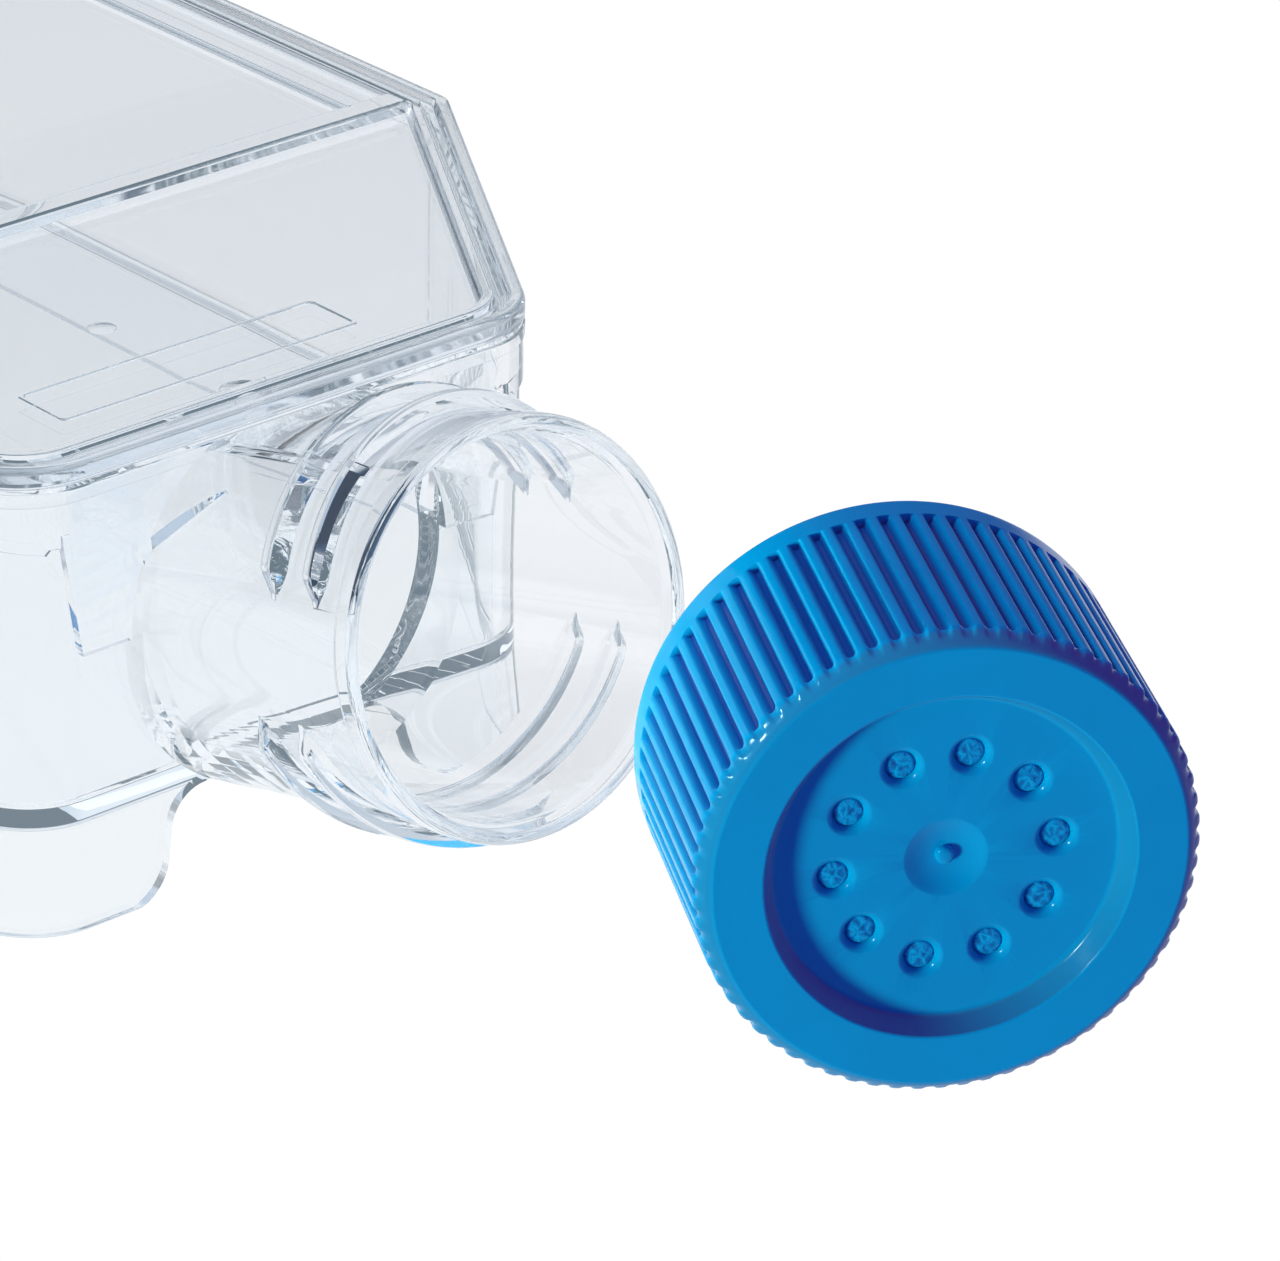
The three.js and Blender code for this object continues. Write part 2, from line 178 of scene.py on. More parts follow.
def turned(name, profile, seg, closed=False):
    """Solid of revolution about Z. profile is (r, z) points; closed joins the last to the first (a ring),
    otherwise the ends lie on the axis."""
    verts, faces, rows = [], [], []
    for r, z in profile:
        if r < 1e-9:
            rows.append([len(verts)])
            verts.append((0.0, 0.0, z))
        else:
            rows.append(list(range(len(verts), len(verts) + seg)))
            for i in range(seg):
                t = 2 * math.pi * i / seg
                verts.append((r * math.cos(t), r * math.sin(t), z))
    pairs = list(zip(rows, rows[1:])) + ([(rows[-1], rows[0])] if closed else [])
    for a, b in pairs:
        for i in range(seg):
            j = (i + 1) % seg
            if len(a) == 1 and len(b) == 1:
                continue
            if len(a) == 1:
                faces.append((a[0], b[j], b[i]))
            elif len(b) == 1:
                faces.append((a[i], a[j], b[0]))
            else:
                faces.append((a[i], a[j], b[j], b[i]))
    return mesh_object(name, verts, faces)


def block(name, x0, x1, y0, y1, z0, z1):
    v = [(x, y, z) for z in (z0, z1) for y in (y0, y1) for x in (x0, x1)]
    f = [(0, 2, 3, 1), (4, 5, 7, 6), (0, 1, 5, 4), (2, 6, 7, 3), (0, 4, 6, 2), (1, 3, 7, 5)]
    return mesh_object(name, v, f)


def prism(name, poly, direction, a, b):
    """poly of (p, q) points swept from a to b along axis 'x', 'y' or 'z'."""
    rings = []
    for d in (a, b):
        if direction == "x":
            rings.append([(d, p, q) for p, q in poly])
        elif direction == "y":
            rings.append([(p, d, q) for p, q in poly])
        else:
            rings.append([(p, q, d) for p, q in poly])
    return loft(name, rings)


def outline(ins, z, seg=14):
    """Rounded plan outline of the flask, set in by ins from the rim edge."""
    h, w = FRONT_W / 2, FRONT_W / 2 + SHOULDER_X
    ln = math.hypot(SHOULDER_X, SHOULDER_Y)
    d = (SHOULDER_X / ln, SHOULDER_Y / ln)
    nrm = (-d[1], d[0])
    p = (h + nrm[0] * ins, nrm[1] * ins)
    yf, xs, yr = ins, w - ins, BODY_L - ins
    b = (p[0] + d[0] * (yf - p[1]) / d[1], yf)
    a = (xs, p[1] + d[1] * (xs - p[0]) / d[0])
    right = [(b, R_FRONT), (a, R_SIDE), ((xs, yr), R_REAR)]
    corners = right + [((-c[0], c[1]), r) for c, r in reversed(right)]
    pts, n = [], len(corners)
    for i, (c, r0) in enumerate(corners):
        c = np.array(c, float)
        u = np.array(corners[i - 1][0], float) - c
        v = np.array(corners[(i + 1) % n][0], float) - c
        u, v = u / np.linalg.norm(u), v / np.linalg.norm(v)
        ang = math.acos(max(-1.0, min(1.0, float(u @ v))))
        r = max(r0 - ins, 0.5)
        t = r / math.tan(ang / 2)
        bis = (u + v) / np.linalg.norm(u + v)
        o = c + bis * (r / math.sin(ang / 2))
        s, e = c + u * t - o, c + v * t - o
        a0 = math.atan2(s[1], s[0])
        da = (math.atan2(e[1], e[0]) - a0) % (2 * math.pi)
        for k in range(seg + 1):
            q = a0 + da * k / seg
            pts.append((o[0] + r * math.cos(q), o[1] + r * math.sin(q), z))
    return pts


def stack(name, profile, seg=14):
    """Closed solid from (inset, z) points followed round the flask's outline."""
    return loft(name, [outline(i, z, seg) for i, z in profile])


def ridge(name, start, stop, step, base, crest, w_base, w_crest, along, taper, side, points=7):
    """A thread ridge with a rounded crest, swept along a helix, its ends running out to nothing."""
    n = max(2, int(round(abs(stop - start) / step)))
    rings = []
    for i in range(n + 1):
        t = start + (stop - start) * i / n
        edge = min(abs(t - start), abs(t - stop)) / taper
        k = min(1.0, edge)
        k = 0.10 + 0.90 * (k * k * (3 - 2 * k))
        narrow = 0.35 + 0.65 * min(1.0, edge * 1.2)
        a, z = math.radians(t), along(t)
        ring = []
        for j in range(points):
            f = j / (points - 1) * 2 - 1                    # -1..1 across the ridge
            flat = w_crest / w_base
            g = 1.0 if abs(f) <= flat else 1 - ((abs(f) - flat) / (1 - flat))
            g = g * g * (3 - 2 * g) * 0.55 + g * 0.45
            r = base + (crest - base) * k * g
            if j in (0, points - 1):
                r = base
            ring.append((r * math.cos(a), side * r * math.sin(a), z + f * w_base / 2 * narrow))
        # close the ring underneath, inside the barrel
        under = base - (0.5 if crest > base else -0.5)
        ring.append((under * math.cos(a), side * under * math.sin(a), z + w_base / 2 * narrow * 0.8))
        ring.append((under * math.cos(a), side * under * math.sin(a), z - w_base / 2 * narrow * 0.8))
        rings.append(ring)
    return loft(name, rings)


# Neck frame: origin on the axis at the front plane, +Z out of the mouth. Columns: local x -> top,
# local y -> -X, local z -> along the axis. Clock angle 0 is the top and 90 is +X, so side is -1.
U = Vector((0, -math.cos(TILT), math.sin(TILT)))
TOP = Vector((0, math.sin(TILT), math.cos(TILT)))
NECK = Matrix((
    (TOP.x, -1.0, U.x, 0.0),
    (TOP.y, 0.0, U.y, 0.0),
    (TOP.z, 0.0, U.z, NECK_Z),
    (0.0, 0.0, 0.0, 1.0)))
NECK_RIDGES = [(0, -70, 72), (1, -70, 72), (1, 107, 200), (2, 107, 256), (3, 165, 256)]


def thread_at(j):
    return lambda t: 14.01 - THREAD_LEAD * t / 360 + THREAD_PITCH * j


def place(ob, matrix=NECK):
    ob.data.transform(matrix)
    ob.data.update()
    return ob


# ---------------------------------------------------------------- tray with neck
def build_tray():
    def wall_out(z):
        return INS_BOT + (INS_TOP - INS_BOT) * (z - Z_FLOOR_LO) / (Z_FLANGE_LO + 0.4 - Z_FLOOR_LO)

    def wall_in(z):
        return INS_BOT + WALL + (INS_TOP - INS_BOT) * (z - Z_FLOOR_HI) / (Z_FLANGE_HI + 1 - Z_FLOOR_HI)

    tray = stack("tray", rounded([
        (12.0, Z_FLOOR_LO, 0), (2.1, Z_FLOOR_LO, 0.5), (1.8, 0.0, 0.35), (INS_FOOT, 0.0, 0.45),
        (wall_out(Z_FLOOR_LO), Z_FLOOR_LO, 0.0), (wall_out(Z_FLANGE_LO), Z_FLANGE_LO, 0.15),
        (0.0, Z_FLANGE_LO, 0.15), (0.0, Z_FLANGE_HI, 0.2),
        (wall_in(Z_FLANGE_HI), Z_FLANGE_HI, 0.15), (wall_in(Z_FLOOR_HI), Z_FLOOR_HI, 0.9),
        (12.0, Z_FLOOR_HI, 0)], 5))

    # upper mould half stands proud of the lower one: a thin band under the flange, and a pad on the
    # front wall round the neck, which is 1 mm proud at the neck's parting line
    band = stack("band", [(0.12, 29.4), (0.12, 33.0), (0.14, 34.2)])
    keep = prism("keep", [(-50, 32.6), (-34, 32.3), (-21.2, 30.2), (-20.9, 30.6), (20.9, 30.6), (21.2, 30.2), (34, 32.3),
                          (50, 32.6), (50, 40), (-50, 40)], "y", -3, 120)
    band = common(band, keep)
    cut_in = stack("cut_in", [(1.0, 28), (0.9, 36)])
    band = minus(band, cut_in)
    pad = loft("pad", [
        [(-19.0, -0.3, 22.15), (19.0, -0.3, 22.15), (19.0, 1.2, 22.15), (-19.0, 1.2, 22.15)],
        [(-20.2, 0.08, 30.7), (20.2, 0.08, 30.7), (20.2, 1.2, 30.7), (-20.2, 1.2, 30.7)],
        [(-20.2, 0.20, 31.6), (20.2, 0.20, 31.6), (20.2, 1.2, 31.6), (-20.2, 1.2, 31.6)]])

    # arch under the neck
    arch = [(-15.2, -2)]
    arch += [(-15.2 + 4 * math.cos(a), 4 + 4 * math.sin(a)) for a in np.linspace(-math.pi / 2, 0, 14)]
    arch += [(-7.85 + 3.15 * math.cos(a), 5.2 + 3.15 * math.sin(a)) for a in np.linspace(math.pi, math.pi / 2, 12)]
    arch = arch + [(-x, z) for x, z in reversed(arch)]
    arch_cut = prism("arch", arch, "y", -5, 9)
    # only the skirt is cut: nothing above the floor's underside
    roof_cut = block("under", -60, 60, -10, 20, -5, Z_FLOOR_LO)
    arch_cut = common(arch_cut, roof_cut)

    # neck
    barrel = place(turned("barrel", rounded([
        (0, -4, 0), (NECK_R + 0.12, -4, 0), (NECK_R + 0.10, 0.15, 0.0), (NECK_R, 1.6, 1.6),
        (NECK_R, NECK_LEN - 1.9, 0.3), (LIP_R, NECK_LEN - 1.45, 0.3), (LIP_R, NECK_LEN - 0.02, 0.42),
        (14.2, NECK_LEN, 0.3), (13.4, NECK_LEN - 0.9, 0), (0, NECK_LEN - 0.9, 0)], 6), 180))

    def roof(z0, name):
        return prism(name, [(6, -10), (6, z0 - 3.6), (-40, z0 + 24), (-40, -10)], "x", -30, 30)

    barrel = common(barrel, roof(Z_FLANGE_HI, "roof"))
    barrel = minus(barrel, prism("root", [(4, 7.3), (0.6, 7.3), (-6.0, 8.0), (-6.0, -5), (4, -5)], "x", -30, 30))
    for k, (j, a, b) in enumerate(NECK_RIDGES):
        r = ridge(f"ridge{k}", a, b, 2.0, NECK_R - 0.12, THREAD_CREST, 2.5, 0.8, thread_at(j), 9.0, -1, 11)
        barrel = union(barrel, place(r))
    # a shallow notch on each of the barrel's shoulders, from the wall up to the flange: one flat face
    # meets the barrel in a curve, the other is a narrow step
    for s in (-1, 1):
        tip_a, tip_b = Vector((-13.05, 0.13, 28.66)), Vector((-10.06, -4.97, 33.89))
        seen_at = (Vector((-12.80, -1.62, 29.53)), Vector((-12.56, -3.7, 30.44)), Vector((-12.15, -4.88, 31.36)),
                   Vector((-11.45, -5.70, 32.51)), Vector((-10.90, -5.68, 33.18)))
        run = (tip_b - tip_a).normalized()
        spread = Vector((0.0, 0.0, 0.0))
        for q in seen_at:
            spread += (q - tip_a) - run * (q - tip_a).dot(run)
        face = spread.normalized()                       # in the flat face, square to its straight edge
        outward = run.cross(face).normalized()
        if outward.dot(Vector((-1.0, 0.0, 1.0))) < 0:
            outward = -outward
        # sink the straight edge, most at the wall, so that the step shows
        tip_a, tip_b = tip_a - outward * 0.55, tip_b - outward * 0.15
        run = (tip_b - tip_a).normalized()
        spread = Vector((0.0, 0.0, 0.0))
        for q in seen_at:
            spread += (q - tip_a) - run * (q - tip_a).dot(run)
        face = spread.normalized()
        outward = run.cross(face).normalized()
        if outward.dot(Vector((-1.0, 0.0, 1.0))) < 0:
            outward = -outward
        step = (outward - face * 0.35).normalized()
        ends = []
        for e in (tip_a - run * 0.6, tip_b + run * 1.2):
            ends.append([e, e + face * 5.0, e + face * 5.0 + outward * 3.0, e + step * 3.0])
        normal = (ends[0][1] - ends[0][0]).cross(ends[0][3] - ends[0][0])
        if s == 1:
            ends = [[Vector((-q.x, q.y, q.z)) for q in ring] for ring in ends]
            normal = (ends[0][1] - ends[0][0]).cross(ends[0][3] - ends[0][0])
        if normal.dot(ends[1][0] - ends[0][0]) < 0:
            ends = [list(reversed(ring)) for ring in ends]
        notch = common(loft("notch", ends), block("near", -30, 30, -8.0, 3, 10, 33.9))
        barrel = minus(barrel, notch)

    tray = union(tray, band)
    tray = union(tray, pad)
    tray = minus(tray, arch_cut)
    # the barrel joins the wall only from the outside
    cavity = stack("cavity", rounded([
        (12.0, Z_FLOOR_HI, 0), (wall_in(Z_FLOOR_HI), Z_FLOOR_HI, 0.9), (wall_in(37), 37, 0), (12.0, 37.0, 0)], 5))
    barrel = minus(barrel, cavity)
    tray = union(tray, barrel)

    bore = place(turned("bore", rounded([
        (0, -5, 0), (BORE_THROAT, -5, 0), (BORE_THROAT, 0, 0), (BORE_MOUTH, NECK_LEN - 0.9, 0.6),
        (14.35, NECK_LEN + 0.25, 0), (14.35, NECK_LEN + 2, 0), (0, NECK_LEN + 2, 0)], 6), 180))
    bore = common(bore, roof(Z_FLANGE_HI - 1.5, "roof2"))
    bore2 = bore.copy()
    bore2.data = bore.data.copy()
    bpy.context.scene.collection.objects.link(bore2)
    tray = minus(tray, common(bore, block("b1", -20, 20, -40, 0.6, -5, 60)))
    tray = minus(tray, common(bore2, block("b2", -20, 20, -1, 2.15, Z_FLOOR_HI, 60)))
    return tray


# ---------------------------------------------------------------- top plate
def build_plate():
    plate = stack("plate", rounded([
        (12.0, Z_PLUG, 0), (2.15, Z_PLUG, 0.3), (2.05, Z_PLATE_LO, 0.1), (0.1, Z_PLATE_LO, 0.12),
        (0.0, Z_PLATE_LO + 0.14, 0), (0.0, Z_RIM, 0.5), (1.12, Z_RIM, 0.22), (1.35, Z_RIM - 0.55, 0.15),
        (2.12, Z_RIM - 0.55, 0.15), (2.35, Z_RIM, 0.22), (RIM_W, Z_RIM, 0.26), (RIM_W + 0.2, Z_FIELD, 0.28),
        (12.0, Z_FIELD, 0)], 5))
    # rear shelf, inside the rim and behind the bar
    shelf = stack("shelf", rounded([
        (12, Z_FIELD - 0.4, 0), (RIM_W - 0.4, Z_FIELD - 0.4, 0), (RIM_W - 0.4, Z_FIELD + 0.35, 0), (12, Z_FIELD + 0.35, 0)], 3))
    shelf = common(shelf, block("behind", -60, 60, BAR_Y, 200, 30, 50))
    plate = union(plate, shelf)
    # cross bar at rim height with rounded edges
    bar = prism("bar", rounded([
        (BAR_Y - BAR_W / 2 - 0.12, Z_FIELD - 0.3, 0), (BAR_Y - BAR_W / 2, Z_RIM, 0.3), (BAR_Y + BAR_W / 2, Z_RIM, 0.3),
        (BAR_Y + BAR_W / 2 + 0.12, Z_FIELD - 0.3, 0)], 4), "x", -(FRONT_W / 2 + SHOULDER_X - 2.6), FRONT_W / 2 + SHOULDER_X - 2.6)
    plate = union(plate, bar)

    # rear stacking recess: rounded rectangle with filleted walls
    def rrect(g, z, seg=10):
        x, y0, y1, q = RECESS_X - g, BAR_Y + BAR_W / 2 + g, BODY_L - RIM_W - 3.2 - g, 4.0
        pts = []
        for cx, cy, r, a0 in ((x, y0, 0.9, -90), (x, y1, q, 0), (-x, y1, q, 90), (-x, y0, 0.9, 180)):
            ox, oy = cx - math.copysign(r, cx), cy + (r if cy == y0 else -r)
            for k in range(seg + 1):
                a = math.radians(a0 + 90 * k / seg)
                pts.append((ox + r * math.cos(a), oy + r * math.sin(a), z))
        return pts

    prof = rounded([(5, Z_REAR_FIELD, 0), (0.1, Z_REAR_FIELD, 0.25), (0.0, Z_FIELD + 0.35, 0.12), (-0.4, Z_FIELD + 0.36, 0),
                    (-0.4, Z_RIM - 0.4, 0)], 4)
    # the cutter's last ring stays inside the rim, so it only opens the shelf
    cutter = loft("recess", [rrect(g, z) for g, z in prof if g > -0.39] + [rrect(-0.02, Z_FIELD + 0.5)])
    plate = minus(plate, cutter)

    # label outline: a fine raised line on the front field
    def rect(g, z):
        x0, x1, y0, y1 = -14.4 + g, 12.4 - g, 7.6 + g, 13.2 - g
        r, pts = 0.5, []
        for cx, cy, a0 in ((x1, y0, -90), (x1, y1, 0), (x0, y1, 90), (x0, y0, 180)):
            ox = cx - r if cx == x1 else cx + r
            oy = cy + r if cy == y0 else cy - r
            for k in range(7):
                a = math.radians(a0 + 15 * k)
                pts.append((ox + r * math.cos(a), oy + r * math.sin(a), z))
        return pts

    rings = [rect(g, z) for g, z in [(0.36, Z_FIELD - 0.3), (0.0, Z_FIELD - 0.3), (0.02, Z_FIELD + 0.05),
                                     (0.1, Z_FIELD + 0.10), (0.24, Z_FIELD + 0.10), (0.33, Z_FIELD + 0.05)]]
    n, verts, faces = len(rings[0]), [p for r in rings for p in r], []
    for r in range(len(rings)):
        for i in range(n):
            a, b = r * n + i, r * n + (i + 1) % n
            c, d = ((r + 1) % len(rings)) * n + i, ((r + 1) % len(rings)) * n + (i + 1) % n
            faces.append((a, b, d, c))
    plate = union(plate, mesh_object("label", verts, faces))

    # two ejector marks: shallow discs in the underside
    for cx, cy, r in ((-1.7, 19.8, 1.1), (-0.63, 4.8, 1.7)):
        d = turned("pin", [(0, Z_PLUG + 0.06), (r - 0.12, Z_PLUG + 0.06), (r - 0.05, Z_PLUG + 0.045), (r, Z_PLUG - 0.01), (r, Z_PLUG - 0.5), (0, Z_PLUG - 0.5)], 48)
        d.data.transform(Matrix.Translation((cx, cy, 0)))
        plate = minus(plate, d)
    return plate


# ---------------------------------------------------------------- cap
def smooth(lo, hi, v):
    q = min(1.0, max(0.0, (v - lo) / (hi - lo)))
    return q * q * (3 - 2 * q)


def build_cap():
    pitch = 2 * math.pi * CAP_R / CAP_RIBS
    # places across one rib pitch; 0.5 is the middle of the groove
    across = [(f, abs(f - 0.5) * pitch) for f in (
        0.0, 0.05, 0.1, 0.14, 0.18, 0.22, 0.26, 0.30, 0.35, 0.41, 0.5, 0.59, 0.65, 0.70, 0.74, 0.78, 0.82, 0.86, 0.90, 0.95)]
    GROOVE = 16.98                                                       # radius at a groove's floor

    shoulder = [(0.0, 17.36), (19.7, 17.36), (20.0, 17.335), (20.3, 17.255), (20.55, 17.14), (20.75, 17.0), (20.9, 16.86), (21.0, 16.74),
                (21.08, 16.63), (21.14, 16.53), (21.18, 16.44), (21.2, 16.34)]

    def ground(z):
        return float(np.interp(z, [p[0] for p in shoulder], [p[1] for p in shoulder]))

    def radius(d, z):
        """d is the distance from the nearest groove's centre line, z the height from the open end."""
        if z <= 2.36:                                                    # plain band
            q = max(0.0, 1 - z / 0.4)
            return CAP_R - 0.35 * (1 - math.sqrt(max(0.0, 1 - q * q)))
        far = math.hypot(d, max(0.0, z - 19.30) * 0.9)
        base = GROOVE + (ground(z) - GROOVE) * smooth(0.16, 0.58, far)
        rise = smooth(0.16, 0.56, d) * (1 - smooth(19.75, 20.85, z))
        crown = 0.05 * min(1.0, ((pitch / 2 - d) / 0.42)) ** 2
        r = base + (CAP_R - crown - base) * rise
        return CAP_R + (r - CAP_R) * smooth(2.36, 2.52, z)               # square ends at the plain band

    levels = [0.0, 0.05, 0.12, 0.2, 0.3, 0.4, 0.9, 1.5, 2.1, 2.30, 2.36, 2.39, 2.42, 2.46, 2.50, 2.8, 4, 7, 10, 13, 16, 18, 18.8]
    levels += [19.0, 19.15, 19.3] + [19.38 + 0.08 * k for k in range(18)] + [20.82, 20.88, 20.94, 21.0, 21.05, 21.1, 21.14, 21.17, 21.19, 21.2]
    rings = []
    for z in levels:
        prof = [(f, radius(d, z)) for f, d in across]
        ring = []
        for i in range(CAP_RIBS):
            for f, r in prof:
                t = 2 * math.pi * (i + f) / CAP_RIBS
                ring.append((r * math.cos(t), r * math.sin(t), z))
        rings.append(ring)
    cap = loft("cap", rings)

    floor = CAP_L - RECESS_D
    wall = rounded([(0, floor, 0), (RECESS_R2, floor, 0.55), (RECESS_R, CAP_L - 0.12, 0.0)], 8)
    lip = [(RECESS_R + 0.03, CAP_L - 0.07), (RECESS_R + 0.09, CAP_L - 0.03), (RECESS_R + 0.17, CAP_L - 0.006), (RECESS_R + 0.24, CAP_L + 0.01)]
    cap = minus(cap, turned("recess", wall + lip + [(RECESS_R + 0.24, CAP_L + 1), (0, CAP_L + 1)], 192))
    # shallow gate dish with its nub
    dish = [(0.0, floor - 0.62), (0.7, floor - 0.6), (1.3, floor - 0.52), (1.9, floor - 0.38), (2.4, floor - 0.2), (2.7, floor - 0.08),
            (2.9, floor - 0.015), (3.05, floor + 0.02), (3.1, floor + 0.6), (0.0, floor + 0.6)]
    cap = minus(cap, turned("dish", dish, 96))
    nub = [(0.0, floor - 1.2), (0.66, floor - 1.2), (0.66, floor - 0.3), (0.6, floor - 0.16), (0.48, floor - 0.07), (0.3, floor - 0.03), (0.0, floor - 0.015)]
    cap = union(cap, turned("nub", nub, 48))
    # inside
    cap = minus(cap, turned("cap_bore", rounded([
        (0, -1, 0), (CAP_BORE + 0.6, -1, 0), (CAP_BORE + 0.6, 0.1, 0.1), (CAP_BORE, 0.8, 0.3), (CAP_BORE, CAP_TOP_IN, 0.5), (0, CAP_TOP_IN, 0)], 5), 192))
    plug = rounded([(12.3, CAP_TOP_IN + 0.2, 0), (12.3, CAP_TOP_IN - 3.4, 0.2), (12.85, CAP_TOP_IN - 3.4, 0.25), (13.25, CAP_TOP_IN - 2.7, 0.3),
                    (13.25, CAP_TOP_IN + 0.2, 0)], 4)
    cap = union(cap, turned("plug", plug, 160, closed=True))
    for i in range(HOLES):
        a = HOLE_PHASE + 2 * math.pi * i / HOLES
        h = turned("hole", [(0, floor - 4), (HOLE_R - 0.1, floor - 4), (HOLE_R - 0.08, floor - 0.75), (HOLE_R - 0.02, floor - 0.48), (HOLE_R + 0.08, floor - 0.28),
                            (HOLE_R + 0.24, floor - 0.12), (HOLE_R + 0.42, floor - 0.03), (HOLE_R + 0.62, floor + 0.02), (HOLE_R + 0.66, floor + 0.4), (0, floor + 0.4)], 48)
        h.data.transform(Matrix.Translation((HOLE_PCR * math.cos(a), HOLE_PCR * math.sin(a), 0)))
        cap = minus(cap, h)
    seat = NECK_LEN - CAP_TOP_IN
    mid = thread_at(0.5)
    for j in range(3):
        r = ridge(f"cap_ridge{j}", -48, 48, 2.4, CAP_BORE + 0.1, CAP_THREAD, 1.6, 0.6, lambda t: mid(t) - seat, 10.0, -1, 9)
        r.data.transform(Matrix.Rotation(j * 2 * math.pi / 3, 4, "Z"))
        cap = union(cap, r)
    return cap


def build_membrane():
    """Disc of vent film, gently sagged and puckered, welded round its edge."""
    n_t, radii = 360, [0.0] + list(np.linspace(0.6, 6.5, 12)) + list(np.linspace(6.8, 8.8, 9)) + list(np.linspace(9.1, 10.9, 8)) + [11.1, 11.3, 11.55, 11.8, 11.9]
    rng = np.random.default_rng(7)
    waves = [(rng.integers(2, 13), rng.uniform(0, 6.28), rng.uniform(0.4, 1.0)) for _ in range(9)]

    def top(r, t):
        if r >= 11.0:
            return 17.80 if r < 11.75 else 17.70
        k = math.sin(math.pi * min(1, r / 11.0)) ** 0.7
        w = sum(a * math.cos(m * t + p + r * 0.35) for m, p, a in waves) / 9
        z = 17.70 + 0.10 * k * w
        return z

    rows_top, rows_bot, verts = [], [], []
    for side, rows in ((1, rows_top), (0, rows_bot)):
        for r in radii:
            if r == 0:
                rows.append([len(verts)])
                verts.append((0, 0, 17.70 if side else 17.44))
                continue
            row = []
            for i in range(n_t):
                t = 2 * math.pi * i / n_t
                z = top(r, t) - (0 if side else 0.26)
                if not side:
                    z = min(z, 17.56)
                row.append(len(verts))
                verts.append((r * math.cos(t), r * math.sin(t), max(z, 17.41)))
            rows.append(row)
    faces = []

    def strip(a, b, flip):
        for i in range(n_t):
            j = (i + 1) % n_t
            if len(a) == 1:
                f = (a[0], b[i], b[j])
            else:
                f = (a[i], b[i], b[j], a[j])
            faces.append(tuple(reversed(f)) if flip else f)

    for a, b in zip(rows_top, rows_top[1:]):
        strip(a, b, False)
    for a, b in zip(rows_bot, rows_bot[1:]):
        strip(a, b, True)
    for i in range(n_t):
        j = (i + 1) % n_t
        faces.append((rows_top[-1][i], rows_bot[-1][i], rows_bot[-1][j], rows_top[-1][j]))
    film_ = mesh_object("membrane", verts, faces)
    # drawn up into the vent holes, as the photograph shows it close under their rims
    rng = np.random.default_rng(11)
    for i in range(HOLES):
        a = HOLE_PHASE + 2 * math.pi * i / HOLES
        d = turned("drawn", [(0, 17.6), (0.985, 17.6), (0.985, 18.68), (1.02, 18.84), (1.025, 18.92), (0.97, 19.0), (0.84, 19.05), (0.6, 19.07), (0.4, 19.08), (0.2, 19.09), (0, 19.09)], 40)
        ph = rng.uniform(0, 6.28, 4)
        for v in d.data.vertices:
            if v.co.z > 19.02:
                v.co.z += 0.05 * math.sin(4.6 * v.co.x + ph[0]) * math.cos(4.1 * v.co.y + ph[1]) + 0.03 * math.sin(9.0 * v.co.y + ph[2]) * math.cos(8.0 * v.co.x + ph[3])
        d.data.transform(Matrix.Translation((HOLE_PCR * math.cos(a), HOLE_PCR * math.sin(a), 0)))
        film_ = union(film_, d)
    return film_


# ---------------------------------------------------------------- finishing a mesh
def finish_mesh(ob, name, angle, matrix=None):
    """Millimetres in the flask frame (or in the cap's own axes, with its matrix) -> metres in the row frame."""
    me = ob.data
    if matrix is not None:
        me.transform(matrix)
    me.transform(Matrix.Diagonal((0.001, 0.001, 0.001, 1.0)) @ Matrix.Translation((0.0, DY, 0.0)))
    ob.name = name
    me.name = name
    me.materials.clear()
    me.polygons.foreach_set("use_smooth", [True] * len(me.polygons))
    me.set_sharp_from_angle(angle=math.radians(angle))
    me.update()
    mod = ob.modifiers.new("weighted", "WEIGHTED_NORMAL")
    mod.weight = 50
    mod.keep_sharp = True
    return ob


# ---------------------------------------------------------------- materials
def new_material(name):
    m = bpy.data.materials.new(name)
    m.use_nodes = True
    t = m.node_tree
    t.nodes.clear()
    return m, t.nodes, t.links


# strength of the painted glow given to the clear plastic
PAINTED_GLOW = 0.0090


